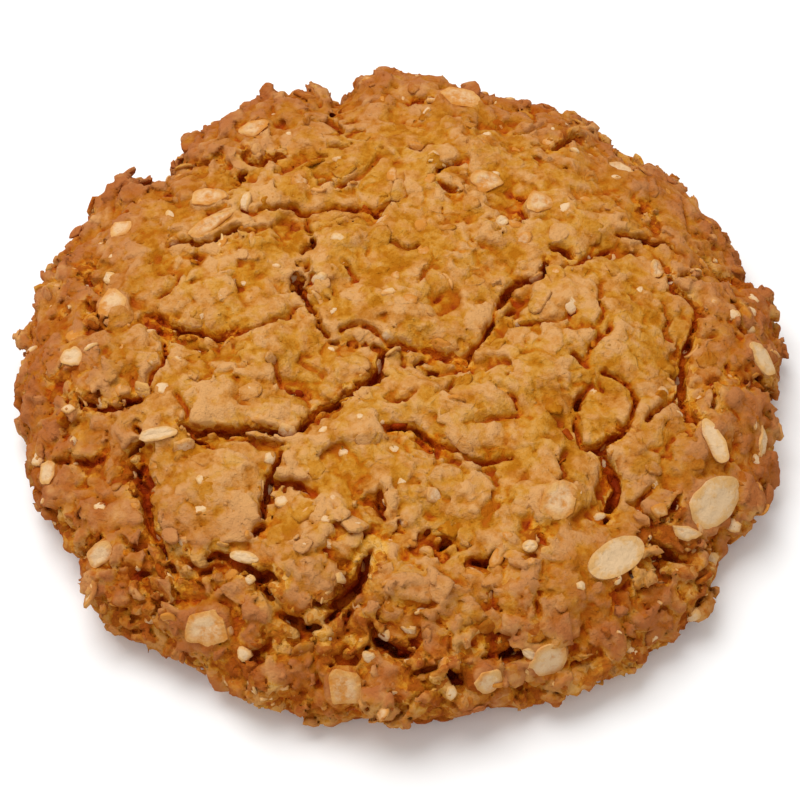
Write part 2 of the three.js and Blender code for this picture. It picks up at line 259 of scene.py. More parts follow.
@dataclass
class Volume:
    """Numbers on a grid of small cubes, in the part's frame.

    Attributes:
        values: One number a cube.
        corner: Whole-number place of the first cube.
        cube: Width of a cube in millimetres.
    """

    values: np.ndarray
    corner: tuple[int, int, int]
    cube: float

    def like(self, values: np.ndarray) -> "Volume":
        """Another volume on the same cubes."""
        return Volume(values, self.corner, self.cube)

    def place(self, index: tuple[np.ndarray, np.ndarray, np.ndarray]) -> Place:
        """Middles of cubes, in millimetres.

        Args:
            index: The cubes' indices along X, Y and Z.

        Returns:
            X, Y and Z of the middles.
        """
        pairs = zip(index, self.corner)
        return tuple(((axis + first) * self.cube).astype(np.float32) for axis, first in pairs)

    def blurred(self, radius: float) -> "Volume":
        """The volume averaged over a ball-like neighbourhood.

        Args:
            radius: Reach of the average in millimetres.

        Returns:
            The blurred volume.
        """
        reach = max(1, round(radius / self.cube / 1.7))
        values = self.values.astype(np.float32)
        for axis in (0, 1, 2) * 3:
            padding = [(reach + 1, reach) if other == axis else (0, 0) for other in range(3)]
            sums = np.cumsum(np.pad(values, padding, mode="edge"), axis=axis, dtype=np.float64)
            width = 2 * reach + 1
            ahead = np.take(sums, np.arange(width, sums.shape[axis]), axis=axis)
            behind = np.take(sums, np.arange(sums.shape[axis] - width), axis=axis)
            values = ((ahead - behind) / width).astype(np.float32)
        return self.like(values)

    def at(self, points: np.ndarray) -> np.ndarray:
        """Numbers at any points, drawn evenly between the cubes' middles.

        Args:
            points: Points in millimetres, one a row.

        Returns:
            One number a point.
        """
        scaled = points / self.cube - np.array(self.corner)
        limit = np.array(self.values.shape) - 2
        first = np.clip(np.floor(scaled).astype(int), 0, limit)
        share = np.clip(scaled - first, 0.0, 1.0)
        total = np.zeros(len(points))
        for offset in product((0, 1), repeat=3):
            weight = np.prod(np.where(offset, share, 1.0 - share), axis=1)
            total += weight * self.values[tuple((first + np.array(offset)).T)]
        return total

    def window(self, middle: np.ndarray, reach: float) -> tuple[tuple[slice, ...], np.ndarray]:
        """Cuts out the cubes around a point.

        Args:
            middle: The point in millimetres.
            reach: How far the cut reaches on each side, in millimetres.

        Returns:
            The cut, and the middles of its cubes in millimetres, one a row.
        """
        first = np.floor((middle - reach) / self.cube).astype(int) - self.corner
        last = np.ceil((middle + reach) / self.cube).astype(int) - self.corner
        first, last = np.maximum(first, 0), np.minimum(last, np.array(self.values.shape) - 1)
        ranges = [np.arange(start, end + 1) for start, end in zip(first, last)]
        index = np.stack(np.meshgrid(*ranges, indexing="ij"), axis=-1).reshape(-1, 3)
        cut = tuple(slice(start, end + 1) for start, end in zip(first, last))
        return cut, (index + self.corner) * self.cube

    def meet(
        self, start: np.ndarray, headings: np.ndarray, most: int = 400, near: float = 0.02
    ) -> np.ndarray:
        """Follows lines until the numbers, taken as distances to a skin, come to zero.

        Args:
            start: Where the lines start, in millimetres.
            headings: Their unit directions, one a row.
            most: Most steps that are taken.
            near: Distance to the skin at which a line has met it, in millimetres.

        Returns:
            The points on the skin, one a row.
        """
        points = np.tile(start, (len(headings), 1))
        for _ in range(most):
            gaps = np.maximum(self.at(points), 0.0)
            points = points + headings * gaps[:, None] * 0.9
            if gaps.max() < near:
                break
        return points

    def slope(self, points: np.ndarray) -> np.ndarray:
        """Directions in which the numbers fall fastest.

        Args:
            points: Points in millimetres, one a row.

        Returns:
            One unit direction a point.
        """
        steps = np.eye(3) * self.cube
        falls = np.stack([self.at(points - step) - self.at(points + step) for step in steps], axis=1)
        return falls / np.maximum(np.linalg.norm(falls, axis=1, keepdims=True), 1e-9)


class Socket:
    """A number that a node tree works out, with Python's operators."""

    def __init__(self, tree: "Tree", output: bpy.types.NodeSocket) -> None:
        """Wraps an output of a tree's node."""
        self.tree = tree
        self.output = output

    def join(self, operation: str, first: "Number", second: "Number") -> "Socket":
        """Adds one Math node.

        Args:
            operation: The node's operation.
            first: Its first number.
            second: Its second number.

        Returns:
            The result.
        """
        return self.tree.output("ShaderNodeMath", {"operation": operation}, {0: first, 1: second})

    def __add__(self, other: "Number") -> "Socket":
        """The sum."""
        return self.join("ADD", self, other)

    def __radd__(self, other: "Number") -> "Socket":
        """The sum, the other way round."""
        return self.join("ADD", other, self)

    def __sub__(self, other: "Number") -> "Socket":
        """The difference."""
        return self.join("SUBTRACT", self, other)

    def __rsub__(self, other: "Number") -> "Socket":
        """The difference, the other way round."""
        return self.join("SUBTRACT", other, self)

    def __mul__(self, other: "Number") -> "Socket":
        """The product."""
        return self.join("MULTIPLY", self, other)

    def __rmul__(self, other: "Number") -> "Socket":
        """The product, the other way round."""
        return self.join("MULTIPLY", other, self)


Number = Socket | float


class Tree:
    """A node tree, built one node at a time."""

    def __init__(self, tree: bpy.types.NodeTree) -> None:
        """Starts from an empty tree."""
        self.tree = tree
        self.tree.nodes.clear()

    def node(self, kind: str, settings: dict | None = None, sockets: dict | None = None) -> bpy.types.Node:
        """Adds one node.

        Args:
            kind: The node's type.
            settings: Its own settings, set first; a ramp's stops are a list of position and colour.
            sockets: Values or links of its inputs, by name or index.

        Returns:
            The node.
        """
        node = self.tree.nodes.new(kind)
        for name, value in (settings or {}).items():
            if name == "stops":
                self.set_stops(node.color_ramp, value)
            else:
                setattr(node, name, value)
        for name, value in (sockets or {}).items():
            if isinstance(value, Socket):
                value = value.output
            if isinstance(value, bpy.types.NodeSocket):
                self.tree.links.new(value, node.inputs[name])
            else:
                node.inputs[name].default_value = value
        return node

    def output(
        self, kind: str, settings: dict | None = None, sockets: dict | None = None, pick: int | str = 0
    ) -> Socket:
        """Adds one node and wraps one of its outputs.

        Args:
            kind: The node's type.
            settings: Its own settings.
            sockets: Values or links of its inputs.
            pick: The output's name or index.

        Returns:
            The output.
        """
        return Socket(self, self.node(kind, settings, sockets).outputs[pick])

    @staticmethod
    def set_stops(ramp: bpy.types.ColorRamp, stops: list[tuple[float, Colour]]) -> None:
        """Gives a ramp its stops.

        Args:
            ramp: The ramp.
            stops: Positions and colours, in order.
        """
        while len(ramp.elements) < len(stops):
            ramp.elements.new(1.0)
        for element, (position, colour) in zip(ramp.elements, stops):
            element.position = position
            element.color = (*colour, 1.0)


class Shader(Tree):
    """A material's node tree."""

    def __init__(self, name: str) -> None:
        """Starts an empty material.

        Args:
            name: The material's name.
        """
        self.material = bpy.data.materials.new(name)
        self.material.use_nodes = True
        super().__init__(self.material.node_tree)
        self.place = self.node("ShaderNodeTexCoord").outputs["Object"]

    def attribute(self, name: str) -> Socket:
        """A number stored on the mesh."""
        return self.output("ShaderNodeAttribute", {"attribute_name": name}, pick="Fac")

    def noise(self, size: float, detail: float = 3.0, roughness: float = 0.55, shift: float = 0.0) -> Socket:
        """Noise over the surface, from 0 to 1 around a half.

        Args:
            size: Size of its spots in metres.
            detail: Number of finer layers.
            roughness: How strong the finer layers are.
            shift: Moves the pattern, so that two of one size differ.

        Returns:
            The noise.
        """
        sockets = {"Vector": self.place, "Location": (shift, shift, shift)}
        moved = self.output("ShaderNodeMapping", {}, sockets)
        sockets = {"Vector": moved, "Scale": 1.0 / size, "Detail": detail, "Roughness": roughness}
        return self.output("ShaderNodeTexNoise", {}, sockets, "Fac")

    def cells(self, size: float, feature: str) -> bpy.types.Node:
        """Breaks the surface up into uneven cells.

        Args:
            size: Size of a cell in metres.
            feature: What the cells' node measures.

        Returns:
            The cells' node.
        """
        sockets = {"Vector": self.place, "Scale": 0.8 / size, "Detail": 1.0, "Roughness": 0.6}
        stir = self.output("ShaderNodeTexNoise", {}, sockets, "Color")
        shift = self.output("ShaderNodeVectorMath", {"operation": "SCALE"}, {0: stir, "Scale": 1.6 * size})
        moved = self.output("ShaderNodeVectorMath", {"operation": "ADD"}, {0: self.place, 1: shift})
        sockets = {"Vector": moved, "Scale": 1.0 / size}
        return self.node("ShaderNodeTexVoronoi", {"feature": feature}, sockets)

    def grains(self, size: float) -> Socket:
        """Breaks the surface up into uneven grains.

        Args:
            size: Size of a grain in metres.

        Returns:
            A number from 0 to 1 that is the grain's own.
        """
        colour = self.cells(size, "F1").outputs["Color"]
        return self.output("ShaderNodeSeparateColor", {}, {"Color": colour})

    def seams(self, size: float, width: float) -> Socket:
        """Thin lines between uneven cells.

        Args:
            size: Size of a cell in metres.
            width: Width of a line in metres.

        Returns:
            1 on a line, falling to 0 beside it.
        """
        away = Socket(self, self.cells(size, "DISTANCE_TO_EDGE").outputs["Distance"])
        return self.step(away, 0.5 * width / size, 0.0)

    def step(self, value: Socket, start: float, end: float) -> Socket:
        """Rises smoothly from 0 where the value is start to 1 where it is end."""
        sockets = {"Value": value, "From Min": start, "From Max": end}
        return self.output("ShaderNodeMapRange", {"interpolation_type": "SMOOTHSTEP"}, sockets)

    def ramp(self, value: Socket, places: tuple[float, ...], colours: Palette) -> bpy.types.NodeSocket:
        """A colour that follows a number along stops.

        Args:
            value: The number.
            places: Numbers at the stops, in order.
            colours: Colours at the stops.

        Returns:
            The colour.
        """
        stops = list(zip(places, colours))
        return self.node("ShaderNodeValToRGB", {"stops": stops}, {"Fac": value}).outputs["Color"]

    def mix(self, share: Number, first: object, second: object, blend: str = "MIX") -> bpy.types.NodeSocket:
        """Mixes two colours.

        Args:
            share: How much of the second, from 0 to 1.
            first: Colour or link.
            second: Colour or link.
            blend: The mix's kind.

        Returns:
            The mixed colour.
        """
        first, second = ((*part, 1.0) if isinstance(part, tuple) else part for part in (first, second))
        settings = {"data_type": "RGBA", "blend_type": blend, "clamp_factor": True}
        return self.node("ShaderNodeMix", settings, {0: share, 6: first, 7: second}).outputs[2]

    def finish(self, sockets: dict, heights: list[tuple[Socket, float]]) -> bpy.types.Material:
        """Closes the material with its shader and its bumps.

        Args:
            sockets: The shader's own inputs.
            heights: Bumps, each a height from 0 to 1 and its depth in metres.

        Returns:
            The material.
        """
        normal = None
        for height, depth in heights:
            inputs = {"Height": height, "Distance": depth, "Strength": 1.0}
            if normal is not None:
                inputs["Normal"] = normal
            normal = self.node("ShaderNodeBump", {}, inputs).outputs["Normal"]
        if normal is not None:
            sockets = sockets | {"Normal": normal}
        surface = self.node("ShaderNodeBsdfPrincipled", {}, sockets)
        self.node("ShaderNodeOutputMaterial", {}, {"Surface": surface.outputs["BSDF"]})
        return self.material


@dataclass(frozen=True)
class BakedCrust:
    """Finish of the baked dough: tan plates, a patchwork of broken crumb, painted shade in its depths and a
    toasted rim.

    Attributes:
        golden: Golden patches of the plates, from low spots to high ones.
        rose: Their rosy patches.
        crumbs: Broken crumb, from the darkest bits to the palest.
        painted_shades: Painted shade: how much of the colour is left from the open crust down to the bottom of
            the cracks.
        toast: Browned rim and foot.
        plate_levels: Levels at which the plates have their colours.
        crumb_levels: Levels at which the crumb has its colours.
        painted_shade_depths: Depths at which the stops of painted shade stand.
    """

    golden: Palette = tones((166, 100, 12), (182, 120, 33), (190, 132, 52), (198, 146, 78))
    rose: Palette = tones((165, 97, 23), (181, 117, 47), (191, 131, 66), (200, 147, 90))
    crumbs: Palette = tones((152, 74, 8), (184, 108, 14), (204, 143, 42), (217, 167, 92))
    painted_shades: Palette = ((1.0, 1.0, 1.0), (1.0, 0.94, 0.62), (0.98, 0.68, 0.21), (0.74, 0.28, 0.04))
    toast: Colour = tone(150, 66, 16)
    plate_levels: tuple[float, ...] = (0.26, 0.42, 0.56, 0.76)
    crumb_levels: tuple[float, ...] = (0.28, 0.45, 0.6, 0.76)
    painted_shade_depths: tuple[float, ...] = (0.5, 0.62, 0.75, 0.92)

    def material(self) -> bpy.types.Material:
        """Builds the material from the crust's own attributes and noise.

        Returns:
            The material.
        """
        shader = Shader("baked_crust")
        names = ("hollow", "sunk", "crease", "crumb", "tint", "oat", "toast")
        hollow, sunk, crease, crumb, tint, oat, toast = (shader.attribute(name) for name in names)
        patches = shader.noise(4.5 * MM, 3.0, 0.6)
        blush = shader.noise(3.0 * MM, 2.0, 0.6, 0.9)
        crumble = shader.noise(1.4 * MM, 3.0, 0.6, 0.5)
        speckle = shader.noise(0.8 * MM, 3.0, 0.65, 0.3)
        grain = shader.noise(0.32 * MM, 2.0, 0.65, 0.7)
        mark = shader.grains(1.2 * MM)
        seam = shader.seams(3.6 * MM, 1.0 * MM) * shader.step(patches, 0.47, 0.57)
        # How deep a point lies, from hollows, creases and seams; it sets the painted shade and where the crumb
        # shows.
        depth = 1.35 * sunk - 0.17 + 0.6 * (hollow - 0.5) + 0.4 * crease + 0.16 * seam
        fine = 0.7 * (crumble - 0.5) + 0.5 * (speckle - 0.5)
        worn = 0.55 * (patches - 0.5) + fine
        # The plate tone darkens with depth: partly the golden dough of the low spots, partly painted shade.
        level = 0.95 + worn + 0.4 * (tint - 0.5) + 0.14 * (mark - 0.5) - 0.9 * depth + 0.3 * oat
        blushed = blush + 0.25 * (tint - 0.5) + 0.3 * (speckle - 0.5) - 0.5 * (depth - 0.46)
        golden, rose = (shader.ramp(level, self.plate_levels, part) for part in (self.golden, self.rose))
        plate = shader.mix(shader.step(blushed, 0.4, 0.58), golden, rose)
        mixed = 0.5 + 0.6 * (tint - 0.5) + 0.4 * (mark - 0.5) + fine
        crumbs = shader.ramp(mixed, self.crumb_levels, self.crumbs)
        broken = shader.step(crumb + 0.6 * (depth - 0.5) - 0.6 * worn, 0.4, 0.85)
        colour = shader.mix(0.9 * broken, plate, crumbs)
        toasted = 0.75 * toast * shader.step(patches, 0.22, 0.55) * (1.0 - 0.3 * broken)
        colour = shader.mix(toasted, colour, self.toast)
        # Painted shade: the colour is darkened more the deeper a point lies, down to the bottom of the cracks.
        shade = shader.ramp(depth, self.painted_shade_depths, self.painted_shades)
        colour = shader.mix(1.0, colour, shade, "MULTIPLY")
        roughness = 0.85 - 0.25 * shader.step(hollow, 0.5, 0.66)
        sockets = {"Base Color": colour, "Roughness": roughness, "Specular IOR Level": 0.06}
        lumps = crumble * (0.2 + 0.8 * broken) - 0.2 * seam
        heights = [
            (lumps, 0.55 * MM),
            (shader.grains(2.4 * MM), 0.15 * MM),
            (speckle, 0.28 * MM),
            (grain, 0.14 * MM),
        ]
        return shader.finish(sockets, heights)


@dataclass(frozen=True)
class RolledOat:
    """Finish of an oat flake: cream, golden in patches, coated in dough where it isn't clean.

    Attributes:
        cream: Clean flake.
        golden: Patches where fat has soaked in.
        baked: Flake coated in baked dough.
    """

    cream: Colour = tone(214, 180, 138)
    golden: Colour = tone(206, 148, 62)
    baked: Colour = tone(194, 124, 44)

    def material(self) -> bpy.types.Material:
        """Builds the material from the flake's own attributes and noise.

        Returns:
            The material.
        """
        shader = Shader("rolled_oat")
        pale = shader.attribute("tint")
        edge = shader.step(shader.attribute("edge"), 0.45, 1.0)
        cloud = shader.noise(2.0 * MM, 4.0, 0.6)
        fleck = shader.noise(0.6 * MM, 4.0, 0.65, 0.2)
        soaked = shader.step(0.8 * cloud + 0.25 * edge + 0.5 * (fleck - 0.5), 0.4, 0.68)
        clean = shader.mix(0.65 * soaked, self.cream, self.golden)
        coat = pale + 1.0 * (cloud - 0.5) + 0.6 * (fleck - 0.5) - 0.1 * edge
        colour = shader.mix(shader.step(coat, 0.8, 0.35), clean, self.baked)
        sockets = {"Base Color": colour, "Roughness": 0.7, "Specular IOR Level": 0.15}
        return shader.finish(sockets, [(cloud, 0.35 * MM), (fleck, 0.2 * MM)])


@dataclass(frozen=True)
class ToastedShred:
    """Finish of a coconut shred: pale, browned here and there.

    Attributes:
        pale: Clean shred.
        brown: Browned end.
    """

    pale: Colour = tone(216, 170, 106)
    brown: Colour = tone(200, 136, 60)

    def material(self) -> bpy.types.Material:
        """Builds the material from noise and the shred's own tint.

        Returns:
            The material.
        """
        shader = Shader("toasted_shred")
        cloud = shader.noise(1.6 * MM, 3.0)
        share = shader.step(shader.attribute("tint") + 0.8 * (cloud - 0.5), 0.2, 0.8)
        colour = shader.mix(share, self.pale, self.brown)
        return shader.finish({"Base Color": colour, "Roughness": 0.6}, [(cloud, 0.05 * MM)])


@dataclass(frozen=True)
class PaleFloor:
    """Finish of the floor: plain matt white.

    Attributes:
        white: Its colour.
    """

    white: Colour = (0.9, 0.9, 0.9)

    def material(self) -> bpy.types.Material:
        """Builds the material, with a faint mottle in its gloss.

        Returns:
            The material.
        """
        shader = Shader("pale_floor")
        roughness = 0.85 + 0.1 * shader.noise(0.05, 2.0)
        return shader.finish({"Base Color": (*self.white, 1.0), "Roughness": roughness}, [])


def new_piece(name: str, mesh: bpy.types.Mesh) -> bpy.types.Object:
    """Puts a mesh in the scene.

    Args:
        name: The piece's name.
        mesh: Its mesh, already in place.

    Returns:
        The piece.
    """
    piece = bpy.data.objects.new(name, mesh)
    bpy.context.scene.collection.objects.link(piece)
    return piece


def bake_modifiers(piece: bpy.types.Object) -> None:
    """Turns what a piece's modifiers make into its plain mesh.

    Args:
        piece: The piece, which keeps no modifier.
    """
    evaluated = piece.evaluated_get(bpy.context.evaluated_depsgraph_get())
    mesh = bpy.data.meshes.new_from_object(evaluated)
    piece.modifiers.clear()
    piece.data = mesh
    mesh.name = piece.name


def mesh_points(mesh: bpy.types.Mesh) -> np.ndarray:
    """Reads the points of a mesh.

    Args:
        mesh: The mesh.

    Returns:
        Its points in metres, one a row.
    """
    points = np.empty(len(mesh.vertices) * 3, np.float32)
    mesh.vertices.foreach_get("co", points)
    return points.reshape(-1, 3).astype(float)


def store(mesh: bpy.types.Mesh, name: str, values: np.ndarray) -> None:
    """Stores one number a point on a mesh."""
    layer = mesh.attributes.new(name, "FLOAT", "POINT")
    layer.data.foreach_set("value", np.asarray(values, np.float32))


def creases(mesh: bpy.types.Mesh, points: np.ndarray, outward: np.ndarray) -> np.ndarray:
    """Measures how far each point of a mesh lies below its neighbours.

    Args:
        mesh: The mesh.
        points: Its points in millimetres, one a row.
        outward: Their outward directions.

    Returns:
        The depths in millimetres, above zero in a crease, evened out once.
    """
    pairs = np.empty(len(mesh.edges) * 2, np.int32)
    mesh.edges.foreach_get("vertices", pairs)
    pairs = np.concatenate([pairs.reshape(-1, 2), pairs.reshape(-1, 2)[:, ::-1]])
    count = np.maximum(np.bincount(pairs[:, 0], minlength=len(points)), 1)

    def around(values: np.ndarray) -> np.ndarray:
        """Mean of each point's neighbours."""
        return np.bincount(pairs[:, 0], values[pairs[:, 1]], minlength=len(points)) / count

    middles = np.stack([around(points[:, axis]) for axis in range(3)], axis=1)
    depth = np.sum((middles - points) * outward, axis=1)
    return 0.5 * depth + 0.5 * around(depth)


def settle(piece: bpy.types.Object) -> None:
    """Lets a piece ride with the biscuit and reports it.

    Args:
        piece: The finished piece.
    """
    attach(piece, BODY)
    piece.data.calc_loop_triangles()
    LOG.info("%s: %d triangles", piece.name, len(piece.data.loop_triangles))


@dataclass(frozen=True)
class Viewpoint:
    """Where the photograph was taken from.

    Attributes:
        target: Point in the middle of the picture, in millimetres.
        elevation: Angle above the floor in degrees.
        distance: From the camera to the target in millimetres.
        lens: Focal length in millimetres.
        sensor: Width of the film in millimetres.
        frame: Width and height of the picture in pixels.
    """

    target: tuple[float, float, float] = (-0.6, -4.6, 6.0)
    elevation: float = 57.0
    distance: float = 290.5
    lens: float = 100.0
    sensor: float = 36.0
    frame: int = 800

    def stand(self) -> Vector:
        """Place of the camera in millimetres."""
        angle = math.radians(self.elevation)
        return Vector(self.target) + self.distance * Vector((0.0, -math.cos(angle), math.sin(angle)))

    def turn(self) -> Matrix:
        """Rotation of the camera."""
        return Matrix.Rotation(math.radians(90.0 - self.elevation), 3, "X")

    def ray(self, pixel: tuple[float, float]) -> Vector:
        """Direction in which a pixel looks.

        Args:
            pixel: Column and row in the picture.

        Returns:
            The unit direction.
        """
        reach = self.lens / self.sensor * self.frame
        middle = self.frame / 2
        sight = Vector((pixel[0] - middle, middle - pixel[1], -reach))
        return (self.turn() @ sight).normalized()

    def camera(self) -> bpy.types.Object:
        """Makes the camera.

        Returns:
            The camera.
        """
        data = bpy.data.cameras.new("photo_camera")
        data.lens = self.lens
        data.sensor_width = self.sensor
        data.clip_start = 0.01
        camera = bpy.data.objects.new("photo_camera", data)
        camera.matrix_world = Matrix.LocRotScale(self.stand() * MM, self.turn().to_quaternion(), None)
        bpy.context.scene.collection.objects.link(camera)
        return camera


@dataclass(frozen=True)
class Spot:
    """One large oat flake that the photograph shows.

    Attributes:
        pixel: Where the photograph shows its middle.
        length: Length in millimetres.
        width: Width in millimetres.
        turn: Direction of its length, in degrees from +X.
        tilt: How far it is turned out of the crust, in degrees.
        pale: How clean it is of dough, from 0 to 1.
    """

    pixel: tuple[int, int]
    length: float
    width: float
    turn: float
    tilt: float
    pale: float

    def coated(self) -> bool:
        """True if dough covers it, so that it shows as relief alone."""
        return self.pale < 0.6

    def worn(self) -> float:
        """How ragged and broken its edge is, from 0 to 1: least on a clean flake."""
        return min(max(4.2 - 4.0 * self.pale, 0.2), 1.0)

    def buried(self) -> float:
        """How far the dough rises over its edge, from 0 to 1: least over a clean flake."""
        return min(4.3 - 4.0 * self.pale, 1.0)


@dataclass(frozen=True)
class Seat:
    """Where a large flake lies on the crust.

    Attributes:
        spot: The flake.
        middle: Its middle in millimetres.
        lie: Its own X, Y and Z, one a column.
    """

    spot: Spot
    middle: np.ndarray
    lie: np.ndarray

    def share(self, points: np.ndarray) -> tuple[np.ndarray, np.ndarray]:
        """How far out points are from the middle, 1 at the flake's edge, and how high above it.

        Args:
            points: Points in millimetres, one a row.

        Returns:
            The shares of the radius and the heights in millimetres.
        """
        along, across, above = ((points - self.middle) @ self.lie).T
        return np.hypot(along / self.spot.length, across / self.spot.width) * 2.0, above


LARGE_FLAKES = [
    Spot((715, 502), 8.8, 5.8, 35, 6, 1.0),
    Spot((617, 557), 8.4, 4.4, 32, 8, 1.0),
    Spot((763, 359), 5.4, 2.6, -32, 12, 0.95),
    Spot((715, 441), 6.0, 2.6, -57, 12, 0.95),
    Spot((763, 440), 4.6, 2.6, 85, 12, 0.85),
    Spot((560, 500), 6.6, 4.6, 35, 14, 0.62),
    Spot((487, 182), 4.4, 3.4, 10, 14, 0.62),
    Spot((540, 203), 4.6, 3.6, 70, 14, 0.62),
    Spot((460, 97), 6.6, 4.6, -15, 14, 0.6),
    Spot((112, 301), 4.6, 3.8, 50, 12, 0.64),
    Spot((143, 323), 5.6, 4.2, 15, 18, 0.5),
    Spot((213, 222), 7.4, 2.4, 30, 14, 0.62),
    Spot((208, 197), 4.8, 3.4, 10, 10, 0.6),
    Spot((103, 383), 5.2, 4.8, 45, 14, 0.55),
    Spot((157, 434), 5.2, 1.7, 6, 12, 0.95),
    Spot((205, 383), 7.0, 4.4, 5, 26, 0.45),
    Spot((265, 337), 7.0, 4.6, 12, 24, 0.4),
    Spot((241, 518), 6.0, 4.6, 20, 14, 0.45),
    Spot((244, 557), 3.6, 1.5, -14, 12, 1.0),
    Spot((205, 627), 6.0, 5.0, 20, 14, 0.65),
    Spot((302, 463), 7.4, 5.0, 8, 12, 0.4),
    Spot((343, 690), 5.6, 4.4, 70, 14, 0.6),
    Spot((548, 661), 5.4, 4.6, 40, 18, 0.75),
    Spot((415, 581), 5.0, 4.2, 30, 16, 0.5),
    Spot((72, 357), 3.0, 2.8, 40, 16, 0.8),
    Spot((48, 473), 3.2, 2.4, 80, 20, 0.7),
    Spot((100, 556), 4.2, 3.0, 40, 26, 0.7),
    Spot((121, 228), 3.4, 3.0, 60, 12, 0.65),
    Spot((255, 128), 4.4, 2.6, 20, 20, 0.6),
    Spot((620, 168), 3.8, 2.8, -20, 20, 0.8),
    Spot((657, 270), 3.4, 2.2, 80, 24, 0.65),
    Spot((670, 462), 3.4, 3.2, 30, 14, 0.55),
    Spot((502, 431), 4.4, 2.6, 15, 18, 0.45),
    Spot((488, 681), 3.8, 3.4, 40, 18, 0.7),
    Spot((530, 654), 2.2, 1.3, -40, 12, 1.0),
    Spot((465, 604), 3.6, 2.4, 10, 22, 0.5),
    Spot((684, 532), 4.6, 2.0, -12, 14, 0.75),
    Spot((502, 221), 1.8, 1.5, 30, 16, 1.0),
    Spot((530, 546), 1.9, 1.5, 10, 16, 1.0),
]


@dataclass(frozen=True)
class Crack:
    """One crack that the photograph shows between the plates of the crust.

    Attributes:
        pixels: Where it runs in the photograph.
        width: Width in millimetres.
        depth: Depth in millimetres.
    """

    pixels: tuple[tuple[int, int], ...]
    width: float
    depth: float

    def run(self, step: float = 3.0) -> tuple[np.ndarray, np.ndarray]:
        """Spreads places evenly along the crack.

        Args:
            step: Distance between two of them in pixels.

        Returns:
            The places in the photograph, one a row, and how open the crack is at each, up to 1.
        """
        corners = np.array(self.pixels, float)
        along = np.concatenate([[0.0], np.cumsum(np.linalg.norm(np.diff(corners, axis=0), axis=1))])
        count = max(3, round(along[-1] / step))
        steps = np.linspace(0.0, along[-1], count)
        places = np.stack([np.interp(steps, along, corners[:, axis]) for axis in (0, 1)], axis=1)
        return places, 0.5 + 0.5 * np.sin(np.pi * np.linspace(0.05, 0.95, count))


